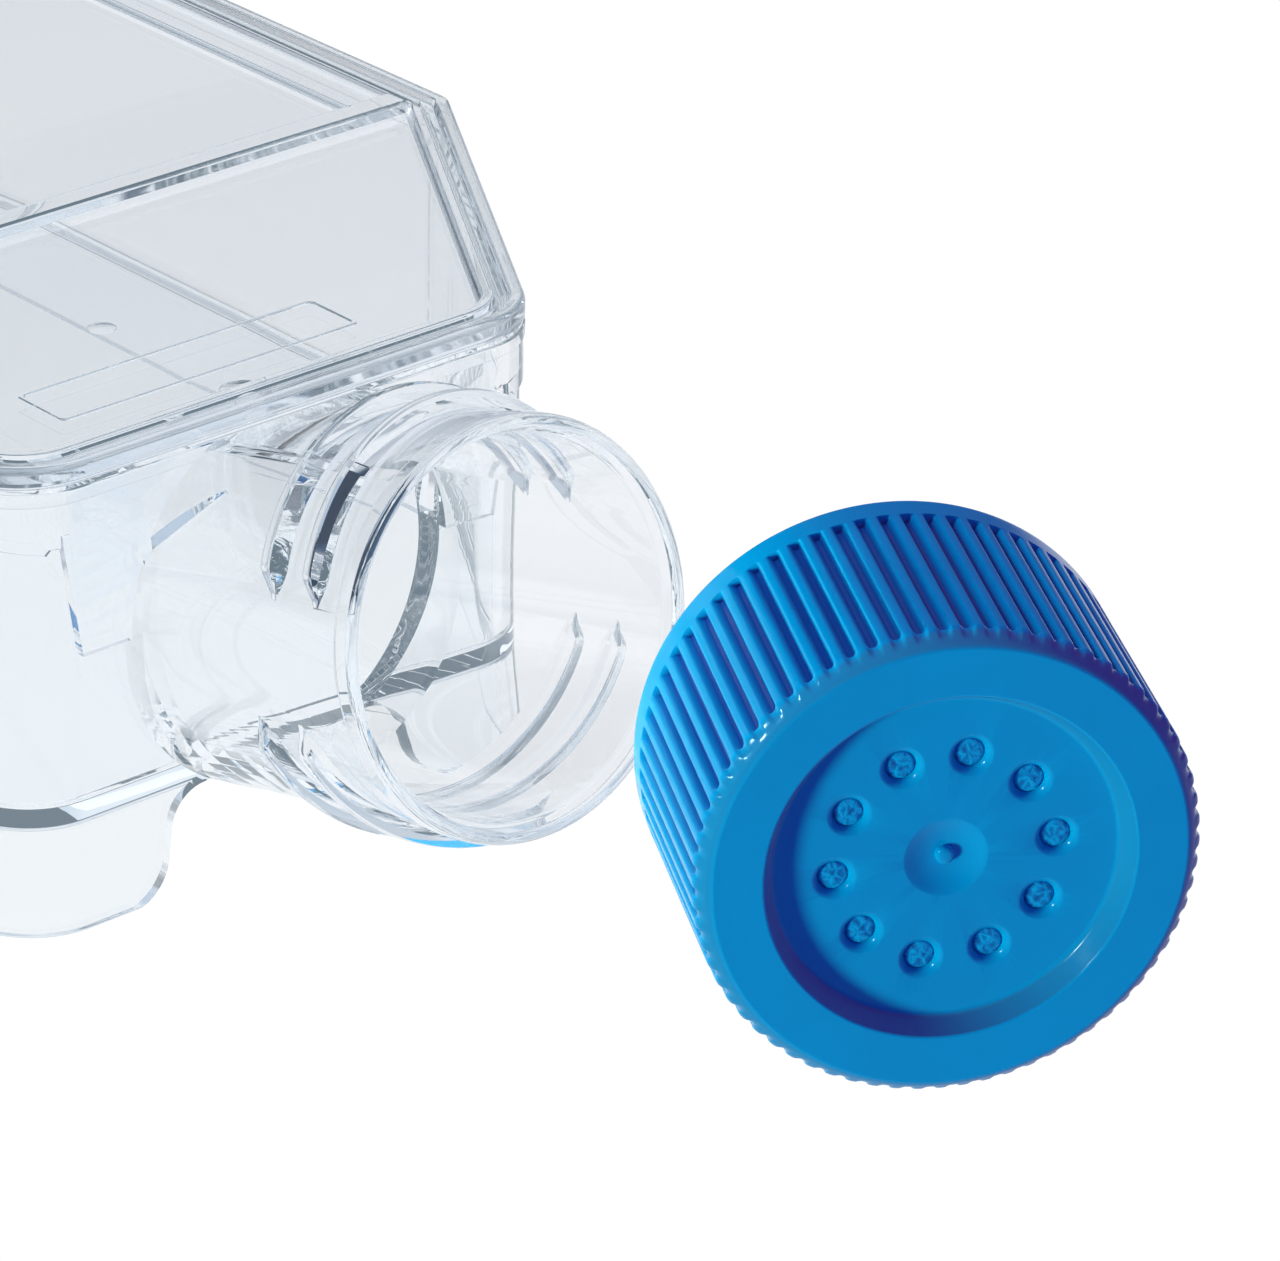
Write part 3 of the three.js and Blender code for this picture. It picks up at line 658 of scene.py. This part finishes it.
def clear_plastic(name, tint, rough, flow_scale, flow_strength, seed):
    """Injection-moulded polystyrene: water clear, faint flow waves and a few fine rubs."""
    m, n, l = new_material(name)
    out = n.new("ShaderNodeOutputMaterial")
    p = n.new("ShaderNodeBsdfPrincipled")
    p.inputs["Transmission Weight"].default_value = 1.0
    p.inputs["IOR"].default_value = 1.59
    p.inputs["Specular IOR Level"].default_value = 0.5
    p.inputs["Emission Color"].default_value = (0.60, 0.82, 1.0, 1)      # painted glow: a weak blue emission stands in for the haze the moulded skin scatters of the room
    p.inputs["Emission Strength"].default_value = PAINTED_GLOW
    m.cycles.emission_sampling = "NONE"
    coord = n.new("ShaderNodeTexCoord")
    shift = n.new("ShaderNodeMapping")
    shift.inputs["Location"].default_value = (seed * 0.37, seed * 0.11, seed * 0.23)
    l.new(coord.outputs["Object"], shift.inputs["Vector"])
    # colour: nearly water clear, a breath of blue that drifts across the part
    drift = n.new("ShaderNodeTexNoise")
    drift.inputs["Scale"].default_value = 26.0
    drift.inputs["Detail"].default_value = 1.0
    l.new(shift.outputs["Vector"], drift.inputs["Vector"])
    ramp = n.new("ShaderNodeValToRGB")
    ramp.color_ramp.elements[0].position = 0.3
    ramp.color_ramp.elements[0].color = (*tint[0], 1)
    ramp.color_ramp.elements[1].position = 0.7
    ramp.color_ramp.elements[1].color = (*tint[1], 1)
    l.new(drift.outputs["Fac"], ramp.inputs["Fac"])
    l.new(ramp.outputs["Color"], p.inputs["Base Color"])
    # roughness: polished, with faint handling rubs
    rub = n.new("ShaderNodeTexNoise")
    rub.inputs["Scale"].default_value = 900.0
    rub.inputs["Detail"].default_value = 2.0
    rub.inputs["Roughness"].default_value = 0.65
    stretch = n.new("ShaderNodeMapping")
    stretch.inputs["Scale"].default_value = (1.0, 0.18, 1.0)
    stretch.inputs["Rotation"].default_value = (0, 0, 0.5)
    l.new(shift.outputs["Vector"], stretch.inputs["Vector"])
    l.new(stretch.outputs["Vector"], rub.inputs["Vector"])
    rr = n.new("ShaderNodeMapRange")
    rr.inputs["From Min"].default_value = 0.66
    rr.inputs["From Max"].default_value = 0.90
    rr.inputs["To Min"].default_value = rough
    rr.inputs["To Max"].default_value = rough + 0.06
    l.new(rub.outputs["Fac"], rr.inputs["Value"])
    # the upright faces of the rim and flange are duller, from the weld
    geo = n.new("ShaderNodeNewGeometry")
    tilt = n.new("ShaderNodeSeparateXYZ")
    l.new(geo.outputs["Normal"], tilt.inputs[0])
    steep = n.new("ShaderNodeMath")
    steep.operation = "ABSOLUTE"
    l.new(tilt.outputs["Z"], steep.inputs[0])
    upright = n.new("ShaderNodeMapRange")
    upright.inputs["From Min"].default_value, upright.inputs["From Max"].default_value = 0.25, 0.45
    upright.inputs["To Min"].default_value, upright.inputs["To Max"].default_value = 1.0, 0.0
    l.new(steep.outputs["Value"], upright.inputs["Value"])
    where_ = n.new("ShaderNodeSeparateXYZ")
    l.new(coord.outputs["Object"], where_.inputs[0])
    high = n.new("ShaderNodeMapRange")
    high.inputs["From Min"].default_value, high.inputs["From Max"].default_value = 0.03390, 0.03400
    l.new(where_.outputs["Z"], high.inputs["Value"])
    weld = n.new("ShaderNodeMath")
    weld.operation = "MULTIPLY"
    l.new(upright.outputs["Result"], weld.inputs[0])
    l.new(high.outputs["Result"], weld.inputs[1])
    dull = n.new("ShaderNodeMath")
    dull.operation = "MULTIPLY_ADD"
    dull.inputs[1].default_value = 0.05
    l.new(weld.outputs["Value"], dull.inputs[0])
    l.new(rr.outputs["Result"], dull.inputs[2])
    l.new(dull.outputs["Value"], p.inputs["Roughness"])
    # flow waves in the moulded faces
    flow = n.new("ShaderNodeTexNoise")
    flow.inputs["Scale"].default_value = flow_scale
    flow.inputs["Detail"].default_value = 1.0
    flow.inputs["Distortion"].default_value = 0.4
    squash = n.new("ShaderNodeMapping")
    squash.inputs["Scale"].default_value = (1.0, 0.45, 1.0)
    l.new(shift.outputs["Vector"], squash.inputs["Vector"])
    l.new(squash.outputs["Vector"], flow.inputs["Vector"])
    bump = n.new("ShaderNodeBump")
    bump.inputs["Strength"].default_value = flow_strength
    bump.inputs["Distance"].default_value = 0.0004
    l.new(flow.outputs["Fac"], bump.inputs["Height"])
    l.new(bump.outputs["Normal"], p.inputs["Normal"])
    # lamps shine through it
    path = n.new("ShaderNodeLightPath")
    through = n.new("ShaderNodeBsdfTransparent")
    through.inputs["Color"].default_value = (0.94, 0.96, 0.98, 1)
    mix = n.new("ShaderNodeMixShader")
    l.new(path.outputs["Is Shadow Ray"], mix.inputs["Fac"])
    l.new(p.outputs["BSDF"], mix.inputs[1])
    l.new(through.outputs["BSDF"], mix.inputs[2])
    l.new(mix.outputs["Shader"], out.inputs["Surface"])
    return m


def cap_axes(n, l, matrix):
    """Object coordinates turned into the cap's own axes: a fixed move and turn."""
    coord = n.new("ShaderNodeTexCoord")
    own = n.new("ShaderNodeMapping")
    own.vector_type = "TEXTURE"
    own.inputs["Location"].default_value = tuple((matrix.translation + Vector((0.0, DY, 0.0))) * 0.001)
    own.inputs["Rotation"].default_value = tuple(matrix.to_euler("XYZ"))
    l.new(coord.outputs["Object"], own.inputs["Vector"])
    return own.outputs["Vector"]


def cap_plastic(matrix):
    """Blue polyethylene, satin: clouded pigment, painted shade (a darker, deeper blue) down in the grooves, a painted
    violet shadow tint on the recess wall and outer shoulder, fine moulding grain.
    The cap's own axes: z runs from the open end (0) to the closed face (0.0212)."""
    m, n, l = new_material("cap_blue_pe")
    out = n.new("ShaderNodeOutputMaterial")
    p = n.new("ShaderNodeBsdfPrincipled")
    p.inputs["IOR"].default_value = 1.25
    p.inputs["Specular Tint"].default_value = (0.5, 0.9, 1.0, 1.0)
    p.inputs["Subsurface Weight"].default_value = 0.08
    p.inputs["Subsurface Radius"].default_value = (0.2, 0.6, 1.0)
    p.inputs["Subsurface Scale"].default_value = 0.0006
    own = cap_axes(n, l, matrix)
    cloud = n.new("ShaderNodeTexNoise")
    cloud.inputs["Scale"].default_value = 130.0
    cloud.inputs["Detail"].default_value = 3.0
    l.new(own, cloud.inputs["Vector"])
    ramp = n.new("ShaderNodeValToRGB")
    ramp.color_ramp.elements[0].position = 0.3
    ramp.color_ramp.elements[0].color = (0.0012, 0.395, 0.700, 1)
    ramp.color_ramp.elements[1].position = 0.7
    ramp.color_ramp.elements[1].color = (0.0016, 0.425, 0.740, 1)
    l.new(cloud.outputs["Fac"], ramp.inputs["Fac"])
    # painted shade: radius from the cap's axis picks out the groove floors, which are coloured darker as if in shade
    flat = n.new("ShaderNodeVectorMath")
    flat.operation = "MULTIPLY"
    flat.inputs[1].default_value = (1.0, 1.0, 0.0)
    l.new(own, flat.inputs[0])
    rad = n.new("ShaderNodeVectorMath")
    rad.operation = "LENGTH"
    l.new(flat.outputs["Vector"], rad.inputs[0])
    sep = n.new("ShaderNodeSeparateXYZ")
    l.new(own, sep.inputs[0])
    groove_shade_fall = n.new("ShaderNodeMapRange")
    groove_shade_fall.inputs["From Min"].default_value = 0.01700
    groove_shade_fall.inputs["From Max"].default_value = 0.01746
    groove_shade_fall.inputs["To Min"].default_value = 1.0
    groove_shade_fall.inputs["To Max"].default_value = 0.0
    l.new(rad.outputs["Value"], groove_shade_fall.inputs["Value"])
    side = n.new("ShaderNodeMapRange")                     # only on the ribbed side wall
    side.inputs["From Min"].default_value = 0.01980
    side.inputs["From Max"].default_value = 0.02005
    side.inputs["To Min"].default_value = 1.0
    side.inputs["To Max"].default_value = 0.0
    l.new(sep.outputs["Z"], side.inputs["Value"])
    outer = n.new("ShaderNodeMapRange")                    # and not inside the bore
    outer.inputs["From Min"].default_value = 0.01670
    outer.inputs["From Max"].default_value = 0.01685
    l.new(rad.outputs["Value"], outer.inputs["Value"])
    m1 = n.new("ShaderNodeMath")
    m1.operation = "MULTIPLY"
    l.new(groove_shade_fall.outputs["Result"], m1.inputs[0])
    l.new(side.outputs["Result"], m1.inputs[1])
    m2 = n.new("ShaderNodeMath")
    m2.operation = "MULTIPLY"
    l.new(m1.outputs["Value"], m2.inputs[0])
    l.new(outer.outputs["Result"], m2.inputs[1])
    # painted shade: the groove floors are mixed towards a darker, deeper blue
    groove_shaded = n.new("ShaderNodeMix")
    groove_shaded.data_type = "RGBA"
    l.new(m2.outputs["Value"], groove_shaded.inputs["Factor"])
    l.new(ramp.outputs["Color"], groove_shaded.inputs["A"])
    groove_shaded.inputs["B"].default_value = (0.045, 0.105, 0.400, 1)
    # painted shadow: the recess wall and outer shoulder, where shade falls, are painted a shade more violet
    def between(value, a, b, c_, d_):
        up_, down_ = n.new("ShaderNodeMapRange"), n.new("ShaderNodeMapRange")
        for node, lo, hi, flip in ((up_, a, b, False), (down_, c_, d_, True)):
            node.inputs["From Min"].default_value, node.inputs["From Max"].default_value = lo, hi
            node.inputs["To Min"].default_value, node.inputs["To Max"].default_value = (1.0, 0.0) if flip else (0.0, 1.0)
            l.new(value, node.inputs["Value"])
        both = n.new("ShaderNodeMath")
        both.operation = "MULTIPLY"
        l.new(up_.outputs["Result"], both.inputs[0])
        l.new(down_.outputs["Result"], both.inputs[1])
        return both.outputs["Value"]

    ring = n.new("ShaderNodeMath")
    ring.operation = "MULTIPLY"
    l.new(between(rad.outputs["Value"], 0.01190, 0.01215, 0.01285, 0.01300), ring.inputs[0])
    l.new(between(sep.outputs["Z"], 0.01948, 0.01965, 0.02112, 0.02118), ring.inputs[1])
    shoulder_shade_zone = n.new("ShaderNodeMath")
    shoulder_shade_zone.operation = "MULTIPLY"
    l.new(between(rad.outputs["Value"], 0.01640, 0.01670, 0.0190, 0.0200), shoulder_shade_zone.inputs[0])
    l.new(between(sep.outputs["Z"], 0.02000, 0.02040, 0.0220, 0.0230), shoulder_shade_zone.inputs[1])
    shade_zones = n.new("ShaderNodeMath")
    shade_zones.operation = "MAXIMUM"
    l.new(ring.outputs["Value"], shade_zones.inputs[0])
    l.new(shoulder_shade_zone.outputs["Value"], shade_zones.inputs[1])
    # painted shadow tint, mixed over the recess wall and the outer shoulder
    violet = n.new("ShaderNodeMix")
    violet.data_type = "RGBA"
    l.new(shade_zones.outputs["Value"], violet.inputs["Factor"])
    l.new(groove_shaded.outputs["Result"], violet.inputs["A"])
    violet.inputs["B"].default_value = (0.050, 0.290, 0.520, 1)
    l.new(violet.outputs["Result"], p.inputs["Base Color"])
    rr = n.new("ShaderNodeMapRange")
    rr.inputs["To Min"].default_value = 0.14
    rr.inputs["To Max"].default_value = 0.22
    l.new(cloud.outputs["Fac"], rr.inputs["Value"])
    l.new(rr.outputs["Result"], p.inputs["Roughness"])
    wave = n.new("ShaderNodeTexNoise")
    wave.inputs["Scale"].default_value = 260.0
    wave.inputs["Detail"].default_value = 2.0
    l.new(own, wave.inputs["Vector"])
    b1 = n.new("ShaderNodeBump")
    b1.inputs["Strength"].default_value = 0.08
    b1.inputs["Distance"].default_value = 0.0003
    l.new(wave.outputs["Fac"], b1.inputs["Height"])
    grain = n.new("ShaderNodeTexNoise")
    grain.inputs["Scale"].default_value = 3200.0
    grain.inputs["Detail"].default_value = 3.0
    l.new(own, grain.inputs["Vector"])
    b2 = n.new("ShaderNodeBump")
    b2.inputs["Strength"].default_value = 0.12
    b2.inputs["Distance"].default_value = 0.00005
    l.new(grain.outputs["Fac"], b2.inputs["Height"])
    l.new(b1.outputs["Normal"], b2.inputs["Normal"])
    l.new(b2.outputs["Normal"], p.inputs["Normal"])
    l.new(p.outputs["BSDF"], out.inputs["Surface"])
    return m


def film():
    """Expanded-film vent, white in reality but painted the blue of the light through the cap and of the holes' shade:
    matt, fibrous, slightly mottled.
    """
    m, n, l = new_material("vent_film")
    out = n.new("ShaderNodeOutputMaterial")
    p = n.new("ShaderNodeBsdfPrincipled")
    p.inputs["Sheen Weight"].default_value = 0.02
    p.inputs["IOR"].default_value = 1.28
    coord = n.new("ShaderNodeTexCoord")
    fib = n.new("ShaderNodeTexVoronoi")
    fib.feature = "DISTANCE_TO_EDGE"
    fib.inputs["Scale"].default_value = 1500.0
    warp = n.new("ShaderNodeTexNoise")
    warp.inputs["Scale"].default_value = 1200.0
    warp.inputs["Detail"].default_value = 4.0
    add = n.new("ShaderNodeVectorMath")
    add.operation = "MULTIPLY_ADD"
    add.inputs[1].default_value = (0.0006, 0.0006, 0.0006)
    l.new(coord.outputs["Object"], warp.inputs["Vector"])
    l.new(warp.outputs["Color"], add.inputs[0])
    l.new(coord.outputs["Object"], add.inputs[2])
    l.new(add.outputs["Vector"], fib.inputs["Vector"])
    # painted light: blue for the light that comes through the cap, mottled lighter and darker by the fibres
    ramp = n.new("ShaderNodeValToRGB")
    ramp.color_ramp.elements[0].position = 0.0
    ramp.color_ramp.elements[0].color = (0.002, 0.47, 0.80, 1)
    ramp.color_ramp.elements[1].position = 0.35
    ramp.color_ramp.elements[1].color = (0.002, 0.20, 0.48, 1)
    l.new(fib.outputs["Distance"], ramp.inputs["Fac"])
    l.new(ramp.outputs["Color"], p.inputs["Base Color"])
    rr = n.new("ShaderNodeMapRange")
    rr.inputs["To Min"].default_value = 0.25
    rr.inputs["To Max"].default_value = 0.60
    l.new(warp.outputs["Fac"], rr.inputs["Value"])
    l.new(rr.outputs["Result"], p.inputs["Roughness"])
    b = n.new("ShaderNodeBump")
    b.inputs["Strength"].default_value = 0.9
    b.inputs["Distance"].default_value = 0.00014
    l.new(fib.outputs["Distance"], b.inputs["Height"])
    l.new(b.outputs["Normal"], p.inputs["Normal"])
    l.new(p.outputs["BSDF"], out.inputs["Surface"])
    return m


# ---------------------------------------------------------------- build
tray = finish_mesh(build_tray(), "clear_tray_detail", 32)
plate = finish_mesh(build_plate(), "clear_plate_detail", 32)
up, axis = Vector((0, 0, 1)), Vector((math.cos(CAP_AZ), math.sin(CAP_AZ), 0))
side = axis.cross(up)
CAP = Matrix((
    (up.x, side.x, axis.x, CAP_POS[0]),
    (up.y, side.y, axis.y, CAP_POS[1]),
    (up.z, side.z, axis.z, CAP_R),
    (0, 0, 0, 1)))
cap = finish_mesh(build_cap(), "cap_detail", 38, CAP)
membrane = finish_mesh(build_membrane(), "vent_film_detail", 50, CAP)

tray.data.materials.append(clear_plastic("clear_ps_tray", ((0.965, 0.977, 0.986), (0.979, 0.988, 0.993)), 0.0, 60.0, 0.10, 1))
plate.data.materials.append(clear_plastic("clear_ps_plate", ((0.965, 0.977, 0.986), (0.979, 0.988, 0.993)), 0.0, 45.0, 0.10, 2))
cap.data.materials.append(cap_plastic(CAP))
membrane.data.materials.append(film())

for ob, body, node, slot in ((tray, "flask", "tray_with_neck", "clear_tray"), (plate, "flask", "top_plate", "clear_plate"),
                             (cap, "cap", "cap_shell", "cap_blue"), (membrane, "cap", "vent_membrane", "membrane")):
    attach(ob, body)
    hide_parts(node)

# ---------------------------------------------------------------- stage
FLOOR_NEAR, FLOOR_FAR, FLOOR_BOUNCE = (0.845, 0.862, 0.880), (0.42, 0.46, 0.51), (0.03, 0.07, 0.34)


def make_floor():
    rings, n = [0.0, 0.15, 0.3, 0.6, 1.2, 2.5, 5.0], 64
    verts, faces = [(0.0, 0.0, 0.0)], []
    for r in rings[1:]:
        for i in range(n):
            t = 2 * math.pi * i / n
            verts.append((r * math.cos(t), r * math.sin(t), 0.0))
    for i in range(n):
        faces.append((0, 1 + i, 1 + (i + 1) % n))
    for k in range(len(rings) - 2):
        for i in range(n):
            a, b = 1 + k * n + i, 1 + k * n + (i + 1) % n
            faces.append((a, a + n, b + n, b))
    me = bpy.data.meshes.new("floor")
    me.from_pydata(verts, [], faces)
    ob = bpy.data.objects.new("floor", me)
    bpy.context.scene.collection.objects.link(ob)
    ob.location.z = -0.00005
    ob.visible_shadow = False                              # a lit table: the key lamp stands level with its top
    m, nn, l = new_material("floor_white")
    out = nn.new("ShaderNodeOutputMaterial")
    d = nn.new("ShaderNodeBsdfDiffuse")
    d.inputs["Color"].default_value = (0.04, 0.04, 0.04, 1)
    ray = nn.new("ShaderNodeLightPath")
    white = nn.new("ShaderNodeEmission")                   # the table itself: white
    white.inputs["Color"].default_value = (1.0, 1.0, 1.0, 1)
    white.inputs["Strength"].default_value = 1.0
    # through clear plastic and in reflections: pale blue grey under the part, darker further out
    place_ = nn.new("ShaderNodeTexCoord")
    reach = nn.new("ShaderNodeVectorMath")
    reach.operation = "LENGTH"
    l.new(place_.outputs["Object"], reach.inputs[0])
    out_ramp = nn.new("ShaderNodeValToRGB")
    r_ = out_ramp.color_ramp
    r_.elements[0].position, r_.elements[0].color = 0.24, (*FLOOR_NEAR, 1)
    r_.elements[1].position, r_.elements[1].color = 0.42, (*FLOOR_FAR, 1)
    l.new(reach.outputs["Value"], out_ramp.inputs["Fac"])
    through = nn.new("ShaderNodeEmission")
    l.new(out_ramp.outputs["Color"], through.inputs["Color"])
    bounce = nn.new("ShaderNodeEmission")                  # its light on matt surfaces
    bounce.inputs["Color"].default_value = (*FLOOR_BOUNCE, 1)
    pick1 = nn.new("ShaderNodeMixShader")
    pick2 = nn.new("ShaderNodeMixShader")
    add = nn.new("ShaderNodeAddShader")
    l.new(ray.outputs["Is Camera Ray"], pick1.inputs["Fac"])
    l.new(through.outputs[0], pick1.inputs[1])
    l.new(white.outputs[0], pick1.inputs[2])
    l.new(ray.outputs["Is Diffuse Ray"], pick2.inputs["Fac"])
    l.new(pick1.outputs[0], pick2.inputs[1])
    l.new(bounce.outputs[0], pick2.inputs[2])
    l.new(d.outputs[0], add.inputs[0])
    l.new(pick2.outputs[0], add.inputs[1])
    # seen from below the table is clear, so the underside can be looked at
    face_ = nn.new("ShaderNodeNewGeometry")
    clear = nn.new("ShaderNodeBsdfTransparent")
    pick3 = nn.new("ShaderNodeMixShader")
    l.new(face_.outputs["Backfacing"], pick3.inputs["Fac"])
    l.new(add.outputs[0], pick3.inputs[1])
    l.new(clear.outputs[0], pick3.inputs[2])
    l.new(pick3.outputs[0], out.inputs["Surface"])
    m.cycles.emission_sampling = "NONE"
    me.materials.append(m)
    return ob


make_floor()

# camera, from the fit to the photograph
cam_data = bpy.data.cameras.new("camera")
cam_data.sensor_fit = "HORIZONTAL"
cam_data.sensor_width = 36.0
cam_data.lens = 194.0994
cam_data.clip_start, cam_data.clip_end = 0.01, 50.0
cam = bpy.data.objects.new("camera", cam_data)
bpy.context.scene.collection.objects.link(cam)
right = Vector((0.7501352, -0.6611836, 0.0115478))
down = Vector((-0.2837715, -0.3376233, -0.8974877))
forward = Vector((0.5973030, 0.6699602, -0.4408882))
eye = Vector((-276.28476, -346.99294 + DY, 235.98375)) * 0.001
cam.matrix_world = Matrix((
    (right.x, -down.x, -forward.x, eye.x),
    (right.y, -down.y, -forward.y, eye.y),
    (right.z, -down.z, -forward.z, eye.z),
    (0, 0, 0, 1)))
bpy.context.scene.camera = cam


def lamp(name, kind, where, target, energy, size, colour=(1, 1, 1), size_y=None):
    d = bpy.data.lights.new(name, kind)
    d.energy = energy
    d.color = colour
    if kind == "AREA":
        d.shape = "RECTANGLE" if size_y else "DISK"
        d.size = size
        if size_y:
            d.size_y = size_y
    elif kind in ("POINT", "SPOT"):
        d.shadow_soft_size = size
    ob = bpy.data.objects.new(name, d)
    bpy.context.scene.collection.objects.link(ob)
    ob.location = where
    ob.rotation_euler = (Vector(target) - Vector(where)).to_track_quat("-Z", "Y").to_euler()
    return ob


# studio light, aimed at the cap. Its directions: from the face (F), from the left (L) and from above (U)
CAP_MID = Vector((0.015, -0.066, 0.018))
F, L, U_ = axis, Vector((-0.8660254, 0.5, 0.0)), Vector((0.0, 0.0, 1.0))


def studio(name, f, left_, up_, distance, energy, size, colour, size_y=None, seen_in_glass=False, glint=False):
    d = (F * f + L * left_ + U_ * up_).normalized()
    ob = lamp(name, "AREA", CAP_MID + d * distance, CAP_MID, energy, size, colour, size_y)
    ob.visible_transmission = seen_in_glass
    ob.visible_glossy = seen_in_glass or glint
    ob.visible_diffuse = not glint                         # a glint lamp only puts highlights on gloss
    return ob


studio("key", 0.50, 0.84, -0.14, 0.95, 7.6, 0.20, (0.03, 1.0, 0.86))
studio("over", -0.30, 0.60, 0.75, 0.95, 3.6, 0.30, (0.04, 0.90, 1.0))
studio("glint", 0.27, 0.86, 0.42, 0.95, 9.0, 0.045, (1.0, 1.0, 1.0), glint=True)
studio("edge", -0.74, -0.67, 0.05, 0.95, 0.3, 0.03, (0.9, 0.97, 1.0), 0.4, glint=True)

world = bpy.data.worlds.new("studio")
bpy.context.scene.world = world
world.use_nodes = True
wn, wl = world.node_tree.nodes, world.node_tree.links
wn.clear()
wout = wn.new("ShaderNodeOutputWorld")
tc = wn.new("ShaderNodeTexCoord")
sep = wn.new("ShaderNodeSeparateXYZ")
wl.new(tc.outputs["Generated"], sep.inputs[0])
level = wn.new("ShaderNodeVectorMath")                     # compass direction, level
level.operation = "MULTIPLY"
level.inputs[1].default_value = (1.0, 1.0, 0.0)
wl.new(tc.outputs["Generated"], level.inputs[0])
compass = wn.new("ShaderNodeVectorMath")
compass.operation = "NORMALIZE"
wl.new(level.outputs["Vector"], compass.inputs[0])
ahead = Vector((forward.x, forward.y, 0.0)).normalized()
left = Vector((-right.x, -right.y, 0.0)).normalized()


def facing(turn, lo, hi):
    """0..1 as the compass direction comes within hi..lo degrees of turn degrees left of straight ahead."""
    d = wn.new("ShaderNodeVectorMath")
    d.operation = "DOT_PRODUCT"
    a = math.radians(turn)
    d.inputs[1].default_value = tuple(ahead * math.cos(a) + left * math.sin(a))
    wl.new(compass.outputs["Vector"], d.inputs[0])
    m = wn.new("ShaderNodeMapRange")
    m.interpolation_type = "SMOOTHSTEP"
    m.inputs["From Min"].default_value = math.cos(math.radians(hi))
    m.inputs["From Max"].default_value = math.cos(math.radians(lo))
    wl.new(d.outputs["Value"], m.inputs["Value"])
    return m.outputs["Result"]


def height(a, b):
    """0..1 as the height of the direction goes from a to b (its sine); falls when a > b."""
    m = wn.new("ShaderNodeMapRange")
    m.interpolation_type = "SMOOTHSTEP"
    m.inputs["From Min"].default_value = min(a, b)
    m.inputs["From Max"].default_value = max(a, b)
    m.inputs["To Min"].default_value, m.inputs["To Max"].default_value = (0.0, 1.0) if a < b else (1.0, 0.0)
    wl.new(sep.outputs["Z"], m.inputs["Value"])
    return m.outputs["Result"]


def times(*sockets):
    out = sockets[0]
    for s in sockets[1:]:
        m = wn.new("ShaderNodeMath")
        m.operation = "MULTIPLY"
        wl.new(out, m.inputs[0])
        wl.new(s, m.inputs[1])
        out = m.outputs["Value"]
    return out


def card(colour_socket, mask, colour, strength=1.0):
    """Paint a card of this colour over the room, where mask is 1."""
    m = wn.new("ShaderNodeMix")
    m.data_type = "RGBA"
    k = wn.new("ShaderNodeMath")
    k.operation = "MULTIPLY"
    wl.new(mask, k.inputs[0])
    k.inputs[1].default_value = strength
    wl.new(k.outputs["Value"], m.inputs["Factor"])
    wl.new(colour_socket, m.inputs["A"])
    m.inputs["B"].default_value = (*colour, 1)
    return m.outputs["Result"]


# what gloss and clear plastic see: a pale blue-grey room with one dark blue card standing on the left behind
vert = wn.new("ShaderNodeValToRGB")
er = vert.color_ramp
er.elements[0].position, er.elements[0].color = 0.0, (0.46, 0.52, 0.60, 1)
er.elements[1].position, er.elements[1].color = 1.0, (0.80, 0.85, 0.92, 1)
for pos, col in ((0.20, (0.62, 0.66, 0.71)), (0.42, (0.68, 0.71, 0.75)), (0.65, (0.72, 0.77, 0.85))):
    e = er.elements.new(pos)
    e.color = (*col, 1)
wl.new(sep.outputs["Z"], vert.inputs["Fac"])
room = vert.outputs["Color"]
room = card(room, times(facing(-68, 50, 75), height(0.65, 0.55)), (0.48, 0.56, 0.65), 0.8)
room = card(room, times(facing(90, 40, 60), height(0.50, 0.62)), (0.32, 0.45, 0.60), 0.8)
room = card(room, times(facing(90, 18, 30), height(0.23, 0.19)), (1.10, 1.10, 1.10))
room = card(room, times(facing(66, 42, 50), height(0.20, 0.25), height(0.60, 0.54)), (0.0, 0.012, 0.045))
room = card(room, times(facing(44, 20, 26), height(0.27, 0.23)), (0.01, 0.05, 0.12))
seen = wn.new("ShaderNodeBackground")
wl.new(room, seen.inputs["Color"])
ray = wn.new("ShaderNodeLightPath")
# a first reflection, off an outside surface, sees the room dimmer than the clear plastic passes it on
outside = wn.new("ShaderNodeMath")
outside.operation = "LESS_THAN"
outside.inputs[1].default_value = 0.5
wl.new(ray.outputs["Transmission Depth"], outside.inputs[0])
first = times(ray.outputs["Is Glossy Ray"], outside.outputs["Value"])
dim = wn.new("ShaderNodeMapRange")
dim.inputs["To Min"].default_value, dim.inputs["To Max"].default_value = 1.0, 0.25
wl.new(first, dim.inputs["Value"])
wl.new(dim.outputs["Result"], seen.inputs["Strength"])
# what matt surfaces are filled with: a low blue light, violet from the right, so that blue shadows stay deep
turn = wn.new("ShaderNodeVectorMath")
turn.operation = "DOT_PRODUCT"
turn.inputs[1].default_value = tuple(-L)
wl.new(tc.outputs["Generated"], turn.inputs[0])
sidew = wn.new("ShaderNodeValToRGB")
sidew.color_ramp.elements[0].position, sidew.color_ramp.elements[0].color = 0.0, (0.06, 0.01, 0.27, 1)
sidew.color_ramp.elements[1].position, sidew.color_ramp.elements[1].color = 0.6, (1.0, 0.02, 0.32, 1)
wl.new(turn.outputs["Value"], sidew.inputs["Fac"])
fill = wn.new("ShaderNodeBackground")
wl.new(sidew.outputs["Color"], fill.inputs["Color"])
pick = wn.new("ShaderNodeMixShader")
wl.new(ray.outputs["Is Diffuse Ray"], pick.inputs["Fac"])
wl.new(seen.outputs[0], pick.inputs[1])
wl.new(fill.outputs[0], pick.inputs[2])
wl.new(pick.outputs[0], wout.inputs["Surface"])

scene = bpy.context.scene
scene.view_settings.view_transform = "Standard"
scene.view_settings.look = "None"
scene.view_settings.exposure = 0.0
c = scene.cycles
c.max_bounces = 26
c.transmission_bounces = 26
c.glossy_bounces = 26
c.diffuse_bounces = 3
c.transparent_max_bounces = 24
c.caustics_refractive = True
c.caustics_reflective = True
c.blur_glossy = 0.2
c.sample_clamp_indirect = 6.0
c.use_denoising = True
